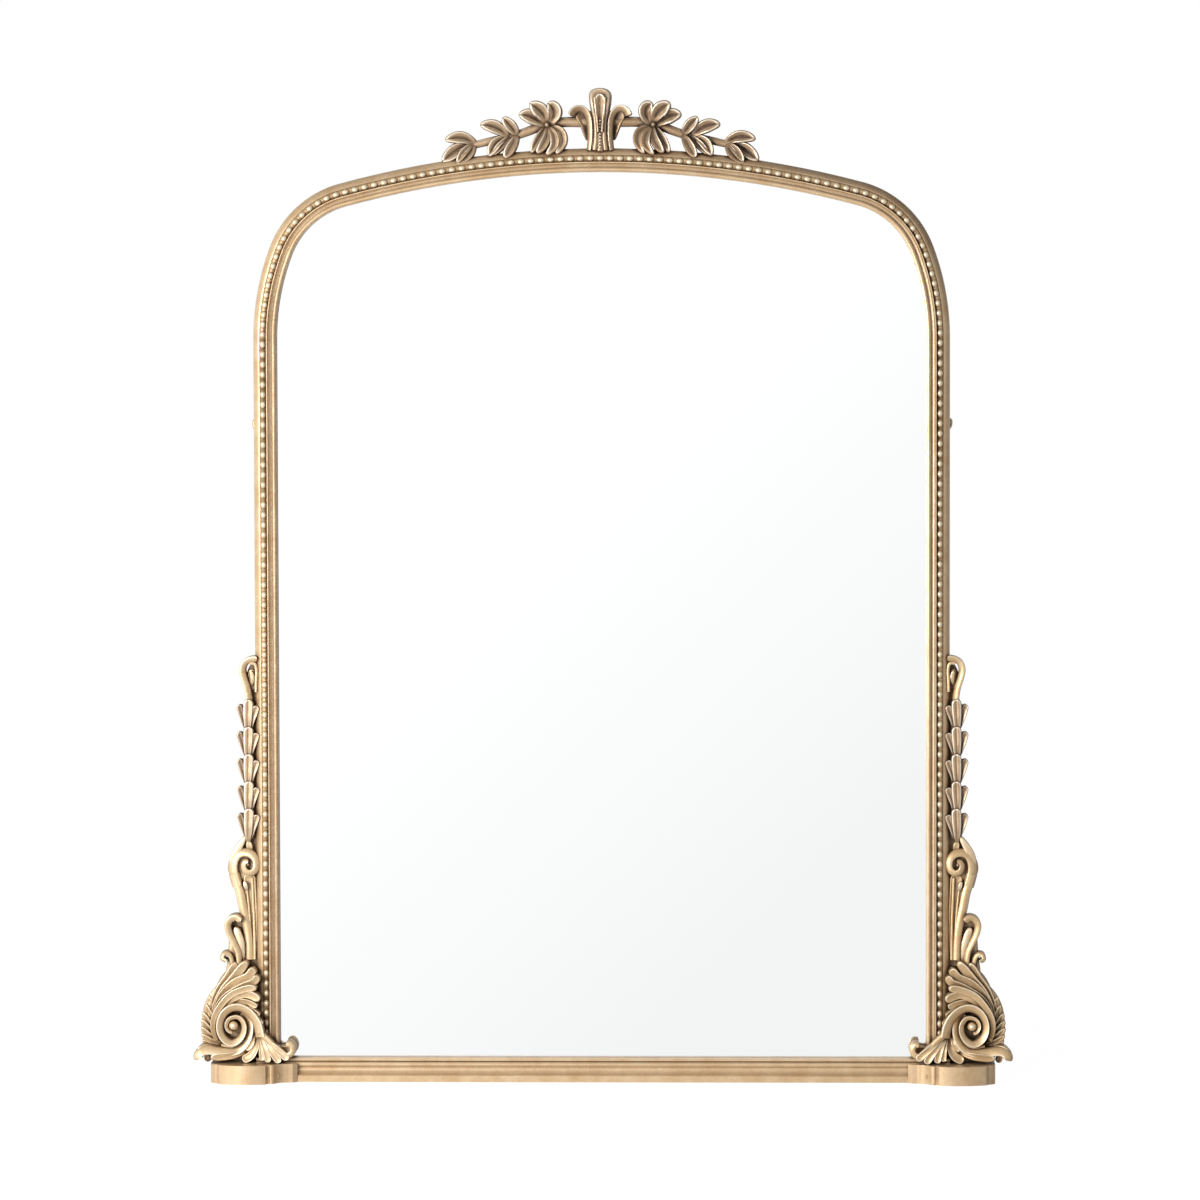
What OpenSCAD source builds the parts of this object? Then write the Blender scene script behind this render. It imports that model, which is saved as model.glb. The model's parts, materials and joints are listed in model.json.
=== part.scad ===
// Arched overmantel pier mirror: a beaded gilt frame with a leafy crest, scrolled side
// brackets and a plinth at each foot, holding a silvered plate against a screwed backing board.
//
// Everything is drawn lying on its back, as on a bench: x to the right, y up the wall and
// z out from the wall. upright() then stands each piece up. In that drawing plane the
// comments call the distance outward from the edge of the opening "u", the distance
// outward from the outer face of a stile "s", and the height above the arch "v".

/* [Opening] */
// Clear width of the opening between the stiles
sight_w = 596; // [500:1:740]
// Height of the top of the opening above the floor
sight_top = 837; // [690:1:1010]

/* [Arch] */
// Opening radius of the long haunch curve above each stile
haunch_r = 215; // [160:1:260]
// Angle that the haunch turns through
haunch_a = 21; // [16:1:26]
// Opening radius of the tight shoulder curve
shoulder_r = 73; // [60:1:90]
// Angle that the shoulder turns through
shoulder_a = 54; // [48:1:57]

/* [Moulding] */
// Width of the frame moulding, from the opening to its outer face
mould_w = 22; // [21:0.5:26]
// Radius of the round bead along the opening
sight_bead_r = 2.2; // [1.6:0.1:2.4]
// Height of the sight bead above the wall
sight_bead_h = 26.5; // [25.5:0.1:30]
// Height of the sharp arris beside the pearls
arris_h = 25.2; // [24:0.1:28]
// Radius of the hollow between the sight bead and the arris
hollow_r = 3.3; // [2.6:0.1:3.6]
// Height of the floor of the pearl channel
channel_h = 21; // [18:0.1:23]
// Width of the pearl channel
channel_w = 6.4; // [6:0.1:7]
// Radius of the quarter round outside the pearls
band_r = 8.5; // [7:0.1:10]
// Height at which the quarter round meets the outer face
band_h = 13.9; // [13:0.1:16]

/* [Pearls] */
// Radius of one pearl
pearl_r = 3; // [2.4:0.1:3]
// Distance from pearl to pearl
pearl_pitch = 9.1; // [7.5:0.1:14]
// Thickness of the strip that the pearls are pressed on
pearl_strip_t = 0.8; // [0.5:0.1:1.2]

/* [Base rail] */
// Height of the base rail
rail_h = 21.4; // [20.5:0.1:28]
// Depth of the base rail from the wall
rail_d = 31; // [29:0.5:38]
// Height of the flat band along the foot of the rail
rail_band = 5.8; // [5:0.1:8]
// Radius of the hollow in the rail
rail_hollow_r = 5.6; // [5:0.1:6]
// Radius of the roll along the rail
rail_roll_r = 2.6; // [2:0.1:2.8]

/* [Plinths] */
// Width of a plinth block
plinth_w = 80; // [74:1:96]
// How far a plinth reaches outside the stile
plinth_out = 41.5; // [40:0.5:50]
// Height of a plinth block
plinth_h = 17.4; // [14:0.1:20]
// Depth of a plinth block from the wall to its bowed front
plinth_d = 52; // [48:0.5:62]

/* [Brackets and castings] */
// Thickness of a side bracket board
bracket_t = 12; // [11:0.5:13.5]
// Height of a side bracket above the floor
bracket_top = 386; // [350:1:440]
// Width of a bracket where the acanthus covers it
bracket_w = 43; // [40:1:48]
// Relief of the crook and of the husks
husk_relief = 12; // [9:0.5:16]
// Number of husks in a drop
husk_count = 5; // [3:1:6]
// Distance from husk to husk
husk_pitch = 25.2; // [24:0.1:30]
// Relief of the side volute
volute_relief = 13; // [10:0.5:16]
// Relief of the corner acanthus
acanthus_relief = 27; // [24:0.5:32]

/* [Crest] */
// Distance from the wall to the back of the crest
crest_back = 6; // [3:0.5:8]
// Relief of the crest sprays
spray_relief = 23; // [20:0.5:28]
// Relief of the crest plume
plume_relief = 26; // [22:0.5:32]
// Height of the crest plume above the arch
plume_h = 55; // [45:1:70]

/* [Glass and back] */
// Thickness of the mirror plate
glass_t = 4; // [3:0.5:5]
// Height of the front of the plate above the wall
glass_front = 17; // [15:0.5:18]
// How far the frame covers the edge of the plate
glass_lap = 5; // [4:0.5:6]
// Gap round the edge of the plate
glass_gap = 1; // [0.5:0.1:2]
// Thickness of the backing board
board_t = 3; // [2:0.5:4]
// Depth of the step that the board lies in, from the opening
board_lap = 10; // [9:0.5:11]
// Gap round the edge of the board
board_gap = 0.5; // [0.3:0.1:1]
// Radius of a backing screw's shank
screw_r = 1.2; // [1:0.1:1.5]
// Radius of a backing screw's pan head
screw_head_r = 2.6; // [2:0.1:3]
// Length of a backing screw under its head
screw_len = 10; // [8:0.5:11]

/* [Joints inside the frame] */
// Radius of a dowel
dowel_r = 2.5; // [2:0.1:3]
// Gap round a glued dowel or tongue
glue_gap = 0.1; // [0.05:0.01:0.2]
// Length of a loose tongue
tongue_l = 24; // [16:1:32]
// Width of a loose tongue
tongue_w = 7; // [5:0.5:8]
// Thickness of a loose tongue
tongue_t = 6; // [4:0.5:6]
// Gap between a casting and the moulding it laps over
casting_gap = 0.3; // [0.2:0.05:0.5]

/* [Hangers] */
// Distance of the hanger rings' pivots below the top of the stiles
hanger_drop = 74.7; // [50:0.1:160]
// Width of a hanger strap
strap_w = 10; // [8:0.5:11]
// Thickness of a hanger strap
strap_t = 1.2; // [1:0.1:1.6]
// Length of a hanger strap below the pivot
strap_l = 38; // [34:1:44]
// Radius of the ring's wire
ring_wire_r = 1.2; // [1:0.1:1.5]
// Clearance of the wire in the rolled strap
ring_play = 0.3; // [0.2:0.05:0.4]
// Inside width of the ring
ring_w = 13; // [12:0.5:16]
// Length of the straight side arms of the ring
ring_arm = 1.5; // [1:0.5:6]
// Radius of a hanger screw's shank
hanger_screw_r = 1.4; // [1.2:0.1:1.6]
// Radius of a wall bumper
bumper_r = 8; // [6:0.5:10]
// Thickness of a wall bumper
bumper_t = 4; // [3:0.5:6]

/* [Hidden] */

GILT = "#d9b884";
BACK = "#a98f6c";
eps = 0.01;
back_y = rail_d / 2;          // the wall side of the frame, with the origin under the rail's middle

// --- The arch: three tangent arcs on each side, of which the crown closes the width ---
sight_x = sight_w / 2;
shoulder_end = haunch_a + shoulder_a;
crown_a = 90 - shoulder_end;
crown_r = (sight_x - haunch_r * (1 - cos(haunch_a))
    - shoulder_r * (cos(haunch_a) - cos(shoulder_end))) / cos(shoulder_end);
spring_y = sight_top - haunch_r * sin(haunch_a)
    - shoulder_r * (sin(shoulder_end) - sin(haunch_a)) - crown_r * (1 - sin(shoulder_end));
haunch_c = [sight_x - haunch_r, spring_y];
shoulder_c = haunch_c + (haunch_r - shoulder_r) * [cos(haunch_a), sin(haunch_a)];
crown_c = [0, sight_top - crown_r];
outer_r = crown_r + mould_w;
stile_x = sight_x + mould_w;

function on_arc(c, r, a) = c + r * [cos(a), sin(a)];
function arc_length(r, a) = r * a * PI / 180;
function turn(length, r) = length / r * 180 / PI;
function arc_points(c, r, a0, a1, n) = [for (i = [0:n]) on_arc(c, r, a0 + (a1 - a0) * i / n)];

// Point and outward angle at a distance along the arch from its top, offset outward by d
function arch_at(along, d) =
    let (crown_l = arc_length(crown_r + d, crown_a),
         shoulder_l = arc_length(shoulder_r + d, shoulder_a),
         far = abs(along),
         a = far < crown_l ? 90 - turn(far, crown_r + d)
           : far < crown_l + shoulder_l ? shoulder_end - turn(far - crown_l, shoulder_r + d)
           : haunch_a - turn(far - crown_l - shoulder_l, haunch_r + d),
         p = far < crown_l ? on_arc(crown_c, crown_r + d, a)
           : far < crown_l + shoulder_l ? on_arc(shoulder_c, shoulder_r + d, a)
           : on_arc(haunch_c, haunch_r + d, a))
    along < 0 ? [-p.x, p.y, 180 - a] : [p.x, p.y, a];

function arch_half_length(d) = arc_length(crown_r + d, crown_a)
    + arc_length(shoulder_r + d, shoulder_a) + arc_length(haunch_r + d, haunch_a);

// Outline of a panel that follows the opening, offset outward by d
function panel_right(d) = concat(
    arc_points(haunch_c, haunch_r + d, 0, haunch_a, 8),
    arc_points(shoulder_c, shoulder_r + d, haunch_a, shoulder_end, 14),
    arc_points(crown_c, crown_r + d, shoulder_end, 90, 10));
function panel_outline(d) =
    let (right = panel_right(d), n = len(right))
    concat([[sight_x + d, rail_h - d]], right,
        [for (i = [n - 2:-1:0]) [-right[i].x, right[i].y]], [[-sight_x - d, rail_h - d]]);

module upright() translate([0, back_y, 0]) rotate([90, 0, 0]) children();
module on_side(side) mirror([side < 0 ? 1 : 0, 0, 0]) children();
// Turns children drawn on top of the arch's middle to a distance along the outside of the crown
module on_crown(along)
    translate(crown_c) rotate(-turn(along, outer_r)) translate([0, outer_r]) children();

// --- The frame moulding ---
hollow_c = [2 * sight_bead_r + 1.2, arris_h + 1.6];
channel_out = mould_w - 6.2;
channel_in = channel_out - channel_w;
pearl_u = channel_out - channel_w / 2;
band_c = [mould_w - band_r, band_h];

bead_c = [sight_bead_r + 0.2, sight_bead_h - sight_bead_r];
band_top = band_h + sqrt(band_r * band_r - pow(channel_out - band_c.x, 2));

module sight_bead() translate(bead_c) circle(sight_bead_r, $fn = 48);
module moulding() difference() {
    polygon([
        [0, glass_front], [0.2, bead_c.y], [0.2, sight_bead_h],
        [2 * bead_c.x, sight_bead_h], [2 * bead_c.x, arris_h], [channel_in, arris_h],
        [channel_in, channel_h], [channel_out, channel_h], [channel_out, band_top],
        [mould_w, band_top], [mould_w, 0], [board_lap, 0],
        [board_lap, glass_front - glass_t], [glass_lap, glass_front - glass_t],
        [glass_lap, glass_front]
    ]);
    difference() {
        translate(hollow_c) circle(hollow_r, $fn = 64);
        sight_bead();
    }
    difference() {
        translate([-1, bead_c.y]) square([2 * bead_c.x + 1, sight_bead_r + 1]);
        sight_bead();
    }
    difference() {
        translate([channel_out - 0.5, band_h]) square([mould_w - channel_out + 1, band_r + 1]);
        translate(band_c) circle(band_r, $fn = 96);
    }
}

module bend(c, r, a0, a1)
    translate(c) rotate(a0) rotate_extrude(angle = a1 - a0, $fn = 240) translate([r, 0]) children();

// --- Fastener positions ---
screw_u = glass_lap + 2.4;
screw_along = [-345, -250, -130, 0, 130, 250, 345];
stile_screws = 4;
rail_screws = [-200, 0, 200];
function stile_screw_y(i) = rail_h + 45 + i * (spring_y - rail_h - 90) / (stile_screws - 1);
screw_points = concat(
    [for (f = screw_along) let (p = arch_at(f / 400 * arch_half_length(screw_u), screw_u)) [p.x, p.y]],
    [for (i = [0:stile_screws - 1], side = [-1, 1]) [side * (sight_x + screw_u), stile_screw_y(i)]],
    [for (f = rail_screws) [f / 298 * sight_x, rail_h - screw_u]]);
board_back = glass_front - glass_t - board_t;
tongue_u = mould_w - 2 - tongue_w / 2;
dowel_u = mould_w - 6;
dowel_h = 6.5;
dowel_into_stile = 9;
dowel_into_bracket = 6;
bracket_dowel_y = [60, 170, 290];
crest_dowel_h = crest_back + 5;
crest_dowel_along = [52, 100];
crest_dowel_in = 8;
crest_dowel_out = 6;
crest_dowel_r = dowel_r - 0.5;
stile_dowel_down = 14;
stile_dowel_up = 20;

module pegs(points, r, h0, h1)
    for (p = points) translate([p.x, p.y, h0]) cylinder(r = r, h = h1 - h0, $fn = 32);

module screw_pilots() pegs(screw_points, screw_r + glue_gap / 2,
    board_back + board_t, board_back + screw_len + 1);

module tongue(grow) translate([-tongue_l / 2 - grow, -tongue_w / 2 - grow, 3.5 - grow])
    cube([tongue_l + 2 * grow, tongue_w + 2 * grow, tongue_t + 2 * grow]);
module tongues(grow)
    for (side = [-1, 1]) on_side(side) {
        translate([sight_x + tongue_u, spring_y]) rotate(90) tongue(grow);
        for (a = [haunch_a, shoulder_end])
            translate(on_arc(shoulder_c, shoulder_r + tongue_u, a)) rotate(a - 90) tongue(grow);
    }

module stile_dowel_set(grow)
    for (side = [-1, 1])
        translate([side * (sight_x + dowel_u), rail_h + stile_dowel_up + grow, dowel_h])
            rotate([90, 0, 0])
                cylinder(r = dowel_r + grow, h = stile_dowel_up + stile_dowel_down + 2 * grow, $fn = 32);

module bracket_dowel_set(grow)
    for (side = [-1, 1], y = bracket_dowel_y) on_side(side)
        translate([stile_x - dowel_into_stile - grow, y, dowel_h]) rotate([0, 90, 0])
            cylinder(r = dowel_r + grow, h = dowel_into_stile + dowel_into_bracket + 2 * grow, $fn = 32);

module crest_dowel_set(grow)
    for (along = concat([0], crest_dowel_along, -crest_dowel_along)) on_crown(along)
        translate([0, crest_dowel_out + grow, crest_dowel_h]) rotate([90, 0, 0])
            cylinder(r = crest_dowel_r + grow, h = crest_dowel_in + crest_dowel_out + 2 * grow, $fn = 32);

// --- Frame pieces ---
module crown() color(GILT) upright() difference() {
    bend(crown_c, crown_r, shoulder_end, 180 - shoulder_end) moulding();
    screw_pilots();
    tongues(glue_gap);
    crest_dowel_set(glue_gap);
}

module shoulder(side) color(GILT) upright() on_side(side) difference() {
    bend(shoulder_c, shoulder_r, haunch_a, shoulder_end) moulding();
    screw_pilots();
    tongues(glue_gap);
}

module haunch(side) color(GILT) upright() on_side(side) difference() {
    bend(haunch_c, haunch_r, 0, haunch_a) moulding();
    screw_pilots();
    tongues(glue_gap);
}

module stile(side) color(GILT) upright() on_side(side) difference() {
    translate([sight_x, spring_y, 0]) rotate([90, 0, 0])
        linear_extrude(spring_y - rail_h) moulding();
    screw_pilots();
    tongues(glue_gap);
    stile_dowel_set(glue_gap);
    bracket_dowel_set(glue_gap);
    hanger_pilots();
}

// --- Base rail ---
rail_hollow_c = [rail_band + 6.2, rail_d + 0.5];
rail_roll_c = [rail_hollow_c.x + 3.9, rail_d - 5.4];
rail_quirk = rail_roll_c.x + 3.3;

module rail_roll() translate(rail_roll_c) circle(rail_roll_r, $fn = 64);
module rail_profile() difference() {
    polygon([
        [0, 0], [0, rail_d], [rail_band, rail_d], [rail_band, rail_d - 1],
        [rail_hollow_c.x, rail_d - 1], [rail_hollow_c.x, rail_roll_c.y + rail_roll_r],
        [rail_quirk, rail_roll_c.y + rail_roll_r], [rail_quirk, sight_bead_h],
        [rail_h, sight_bead_h], [rail_h, 0]
    ]);
    difference() {
        translate(rail_hollow_c) circle(rail_hollow_r, $fn = 96);
        rail_roll();
    }
    difference() {
        translate([rail_roll_c.x, rail_d - 6.4])
            square([rail_quirk - rail_roll_c.x, 2 * rail_roll_r]);
        rail_roll();
    }
}

module base_rail() color(GILT) upright() difference() {
    translate([-stile_x, 0, 0]) rotate([90, 0, 90]) linear_extrude(2 * stile_x) rail_profile();
    translate([-sight_x - glass_lap, rail_h - glass_lap, glass_front - glass_t - eps])
        cube([sight_w + 2 * glass_lap, glass_lap + eps, glass_t + eps]);
    translate([-sight_x - board_lap, rail_h - board_lap, -eps])
        cube([sight_w + 2 * board_lap, board_lap + eps, glass_front - glass_t + eps]);
    screw_pilots();
    stile_dowel_set(glue_gap);
    plinth_dowel_set(glue_gap);
}

// --- Plinth blocks: a bowed front that steps back in an ogee to the rail ---
plinth_in = plinth_w - plinth_out;
bow_end = plinth_w - 28;
bow_r = 62;
bow_c = [bow_end - 17, plinth_d - bow_r];
bow_side = asin((bow_end - bow_c.x) / bow_r);
bow_left = asin((bow_c.x - 9) / bow_r);
plinth_dowel_x = stile_x - 20;
plinth_dowel_y = 7;
plinth_dowel_back = 10;
plinth_dowel_front = 9;
plinth_screw_s = [8, 30];
plinth_screw_r = 1.75;
plinth_screw_head_r = 3.5;
plinth_screw_l = 34;
plinth_screw_sink = 0.6;

// Front of a plinth, from its outer end at 0 to its inner end at plinth_w. The ogee between the
// bow and the arm in front of the rail is drawn for a step of 16.4 and stretched to the real one
arm_front = rail_d + 4.6;
function stepped(points) =
    [for (p = points) [p.x, plinth_d + p.y * (plinth_d - arm_front) / 16.4]];
function plinth_front() = concat(
    arc_points([9, plinth_d - 19], 9, 180, 105, 5),
    arc_points(bow_c, bow_r, 90 + bow_left, 90 - bow_side, 12),
    stepped(concat([[bow_end, -5], [bow_end + 1.6, -6.6]],
        arc_points([bow_end + 4.8, -9.2], 3.4, 130, 40, 4),
        arc_points([bow_end + 19.5, -3.5], 12.5, 205, 262, 7))),
    [[plinth_w - 8, arm_front], [plinth_w - 4, rail_d + 4.2], [plinth_w - 1, rail_d + 1.6],
     [plinth_w, rail_d + 0.8]]);

module plinth_plan() polygon(concat([[0, 0]], plinth_front(), [[plinth_w, rail_d],
    [plinth_out, rail_d], [plinth_out, 0]]));

module plinth_dowel_set(grow)
    for (side = [-1, 1])
        translate([side * plinth_dowel_x, plinth_dowel_y, rail_d - plinth_dowel_back - grow])
            cylinder(r = dowel_r + grow, h = plinth_dowel_back + plinth_dowel_front + 2 * grow, $fn = 32);

module plinth_screw_set(grow)
    for (side = [-1, 1], s = plinth_screw_s)
        translate([side * (stile_x + s), plinth_screw_sink, dowel_h]) rotate([-90, 0, 0]) {
            cylinder(r1 = plinth_screw_head_r + grow, r2 = plinth_screw_r + grow,
                h = plinth_screw_head_r - plinth_screw_r, $fn = 32);
            cylinder(r = plinth_screw_r + grow, h = plinth_screw_l + grow, $fn = 32);
        }

module plinth(side) color(GILT) upright() difference() {
    on_side(side) translate([stile_x + plinth_out, plinth_h, 0]) rotate([90, 0, 0])
        linear_extrude(plinth_h) mirror([1, 0, 0]) plinth_plan();
    plinth_dowel_set(glue_gap);
    plinth_screw_set(glue_gap);
    for (s = plinth_screw_s) translate([side * (stile_x + s), -eps, dowel_h])
        rotate([-90, 0, 0]) cylinder(r = plinth_screw_head_r + glue_gap, h = plinth_screw_sink + 2 * eps, $fn = 32);
}

// --- Smooth curves through hand-placed points ---
function smooth_at(p0, p1, p2, p3, t) = 0.5 * (2 * p1 + (p2 - p0) * t
    + (2 * p0 - 5 * p1 + 4 * p2 - p3) * t * t + (3 * p1 - p0 - 3 * p2 + p3) * t * t * t);
function smooth(pts, steps) = let (n = len(pts)) concat(
    [for (i = [0:n - 2], k = [0:steps - 1])
        smooth_at(pts[max(i - 1, 0)], pts[i], pts[i + 1], pts[min(i + 2, n - 1)], k / steps)],
    [pts[n - 1]]);

// --- Side brackets: a shaped board beside each stile. Points are [s, y] ---
bracket_edge = [
    [0, bracket_top], [5, bracket_top - 2], [8.6, bracket_top - 12], [7.4, bracket_top - 26],
    [8.4, bracket_top - 42], [9.6, 320], [9.6, 250], [10.4, 226], [16, 216], [20, 206], [20.6, 196],
    [16.4, 182], [12.6, 168], [10.8, 157], [15, 149.6], [22.4, 146], [22.4, 137], [18.6, 127],
    [18.6, 116], [bracket_w - 19, 107], [bracket_w - 12, 96], [bracket_w - 4.6, 80], [bracket_w, 64],
    [bracket_w, 46], [bracket_w - 3.4, 34], [bracket_w - 7, 25], [bracket_w - 8, plinth_h]
];

module bracket(side) color(GILT) upright() difference() {
    on_side(side) translate([stile_x, 0, 0]) linear_extrude(bracket_t)
        polygon(concat([[0, plinth_h]], smooth(bracket_edge, 3)));
    bracket_dowel_set(glue_gap);
    plinth_screw_set(glue_gap);
}

// --- Pearls ---
module pearl() translate([0, 0, channel_h + pearl_strip_t / 2])
    intersection() {
        sphere(pearl_r, $fn = 24);
        translate([-pearl_r, -pearl_r, 0]) cube([2 * pearl_r, 2 * pearl_r, pearl_r]);
    }

module pearl_strip() translate([pearl_u - pearl_r - 0.1, channel_h])
    square([2 * pearl_r + 0.2, pearl_strip_t]);

// A bent length of the strip, a hair short of its neighbours at each end
module strip_bend(c, r, a0, a1) let (short = turn(glue_gap / 2, r + pearl_u))
    bend(c, r, a0 + short, a1 - short) pearl_strip();

module beading_straight(side) color(GILT) upright() on_side(side) {
    run = spring_y - rail_h;
    n = floor(run / pearl_pitch);
    translate([sight_x, spring_y, 0]) rotate([90, 0, 0]) linear_extrude(run) pearl_strip();
    for (i = [0:n - 1]) translate([sight_x + pearl_u, spring_y - (i + 0.5) * run / n, 0]) pearl();
}

module beading_arch() color(GILT) upright() {
    half = arch_half_length(pearl_u);
    n = round(2 * half / pearl_pitch);
    strip_bend(crown_c, crown_r, shoulder_end, 180 - shoulder_end);
    for (side = [-1, 1]) on_side(side) {
        strip_bend(shoulder_c, shoulder_r, haunch_a, shoulder_end);
        strip_bend(haunch_c, haunch_r, 0, haunch_a);
    }
    for (i = [0:n - 1]) let (p = arch_at(-half + (i + 0.5) * 2 * half / n, pearl_u))
        translate([p.x, p.y, 0]) pearl();
}

// --- Leaves and scrolls. Each is a strap with a flat back, lofted along a curve. Heights are
// --- shares of the casting's relief, and casting() gives the whole its true relief ---
ROUND = [[1, 0], [0.7, 0.72], [0, 1], [-0.7, 0.72], [-1, 0]];
SPOON = [[1, 0], [0.52, 1], [-0.52, 1], [-1, 0]];
RIDGE = [[1, 0], [0, 1], [-1, 0]];

module strap(c, dir, w, t, section) {
    m = len(section);
    n = len(c);
    points = [for (i = [0:n - 1], q = section)
        [c[i].x - sin(dir[i]) * w[i] * q.x, c[i].y + cos(dir[i]) * w[i] * q.x, t[i] * q.y]];
    sides = [for (i = [0:n - 2], j = [0:m - 1]) let (k = (j + 1) % m)
        each [[i * m + j, (i + 1) * m + j, (i + 1) * m + k], [i * m + j, (i + 1) * m + k, i * m + k]]];
    caps = concat(
        [for (j = [1:m - 2]) [0, j, j + 1]],
        [for (j = [1:m - 2]) (n - 1) * m * [1, 1, 1] + [0, j + 1, j]]);
    polyhedron(points, concat(sides, caps));
}

// Place and direction at a share t of the way along a hand-placed curve
function path_at(pts, t) = let (n = len(pts), f = t * (n - 1), i = min(floor(f), n - 2))
    smooth_at(pts[max(i - 1, 0)], pts[i], pts[i + 1], pts[min(i + 2, n - 1)], f - i);
function path_dir(pts, t) =
    let (d = path_at(pts, min(t + 0.02, 1)) - path_at(pts, max(t - 0.02, 0))) atan2(d.y, d.x);

// Half-width and height along a lobe: a narrow foot, fullest past the middle, a rounded tip
function swell(t, full) = t < full ? 0.35 + 0.65 * sin(90 * t / full)
    : sqrt(max(0.03, 1 - pow((t - full) / (1 - full), 2)));
function lift(t) = t < 0.55 ? 0.62 + 0.38 * sin(90 * t / 0.55) : t < 0.75 ? 1
    : 1 - 0.5 * pow((t - 0.75) / 0.25, 2);

// A lobe or leaf from its foot through hand-placed points to its rounded tip
module lobe(pts, wide, h, full = 0.62, section = SPOON) {
    n = len(pts);
    ts = concat([for (i = [0:n]) 0.84 * i / n], [0.96]);
    strap([for (t = ts) path_at(pts, t)], [for (t = ts) path_dir(pts, t)],
        [for (t = ts) wide / 2 * swell(t, full)], [for (t = ts) h * lift(t)], section);
}

// A scroll: a round strap along a smooth curve, tapering from w0 to w1 and from h0 to h1
module scroll(pts, steps, w0, w1, h0, h1) {
    n = steps * (len(pts) - 1);
    ts = [for (i = [0:n]) i / n];
    strap([for (t = ts) path_at(pts, t)], [for (t = ts) path_dir(pts, t)],
        [for (t = ts) w0 + (w1 - w0) * t], [for (t = ts) h0 + (h1 - h0) * t], ROUND);
}

module button(p, r, h) translate(p) cylinder(r1 = r, r2 = 0.55 * r, h = h, $fn = 12);
module mass(pts, h) linear_extrude(h) polygon(pts);

module casting(relief) resize([0, 0, relief]) children();

// The moulding's front with clearance, as [u, height above the casting's back]
function lap_profile(back, seat = eps) = let (g = casting_gap) [
    [mould_w + seat, -1], [mould_w + seat, band_h - back], [mould_w + g, band_h - back + g],
    [mould_w - 0.9 + g, band_h + 4.2 - back + g], [mould_w - 2.6, band_h + 7 - back + g],
    [channel_out, band_h + band_r - back + g], [channel_out - 0.5, channel_h + 4.2 - back + g],
    [3 * sight_bead_r, arris_h - back + g], [2 * sight_bead_r, sight_bead_h - back + g],
    [-g, sight_bead_h - back + g], [-g, glass_front - back + g], [-60, glass_front - back + g],
    [-60, -1]
];

// What a side casting keeps clear of: the stile, the plate, the rail and the plinth
module beside_frame(relief) scale([1, 1, 1 / relief]) {
    translate([-mould_w, 500, 0]) rotate([90, 0, 0]) linear_extrude(500)
        polygon(lap_profile(bracket_t));
    translate([-90, 0, -1])
        cube([90 + 2 * casting_gap, rail_h + 2 * casting_gap, rail_d - bracket_t + casting_gap + 1]);
    translate([-90, -1, -1]) cube([plinth_out + 90 + casting_gap, plinth_h + 1, relief + 5]);
}

module side_casting(side, relief) color(GILT) upright() on_side(side)
    translate([stile_x, 0, bracket_t]) casting(relief) difference() {
        union() children();
        beside_frame(relief);
    }

// --- Crook at the top of a bracket ---
module crook(side) side_casting(side, husk_relief) {
    scroll([[5.6, 355], [6.2, 360], [7.6, 366], [10, 373.5], [11.2, 380.8], [9, 387], [3.5, 390.6],
        [-2.6, 391.4]], 2, 2.7, 2.9, 0.75, 1);
    lobe([[3.4, 362], [2.6, 370], [4, 380]], 5.5, 0.55);
    lobe([[2, 366], [-0.6, 375], [-2, 385]], 4, 0.8);
}

// --- Husks: each a spoon between two outward-turned lobes ---
module husk() {
    lobe([[6.8, 0], [6.3, 12], [5.7, 29]], 9.4, 1, 0.74);
    lobe([[5, 1], [2.2, 11], [-2.2, 22.5]], 6.4, 0.85, 0.76);
    lobe([[8.2, 1], [11, 11], [14.3, 23.5]], 6.8, 0.8, 0.8);
}
husk_foot = 224;
module husk_drop(side) side_casting(side, husk_relief)
    for (i = [0:husk_count - 1]) translate([0, husk_foot + i * husk_pitch]) husk();

// --- Volute and the long stem below it ---
module volute(side) side_casting(side, volute_relief) {
    scroll([[5.6, 114.5], [6, 126], [6.6, 138], [8.2, 150], [10.8, 160], [13.4, 170],
        [17, 181], [20.8, 191]], 2, 2.9, 3.7, 0.5, 0.6);
    scroll([[17.6, 183], [21, 191.5], [21.4, 201], [18.4, 208.6], [12.6, 212.4], [5.6, 212.6],
        [0, 208.7], [-2.2, 201], [0, 195], [4.8, 192.2], [9.6, 194.4], [11.4, 199.8], [9.4, 203.6]],
        2, 3.6, 2.1, 0.6, 0.9);
    button([8, 200.2], 2.9, 1);
    lobe([[21.6, 199], [19.5, 210], [14.5, 217], [9.6, 221.6]], 6, 0.62);
    lobe([[4.6, 168], [3.2, 178], [5.2, 188]], 6, 0.42);
    mass([[0.2, 150], [7, 150], [12, 172], [18, 186], [17, 208], [4, 210], [0.2, 204]], 0.3);
}

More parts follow.
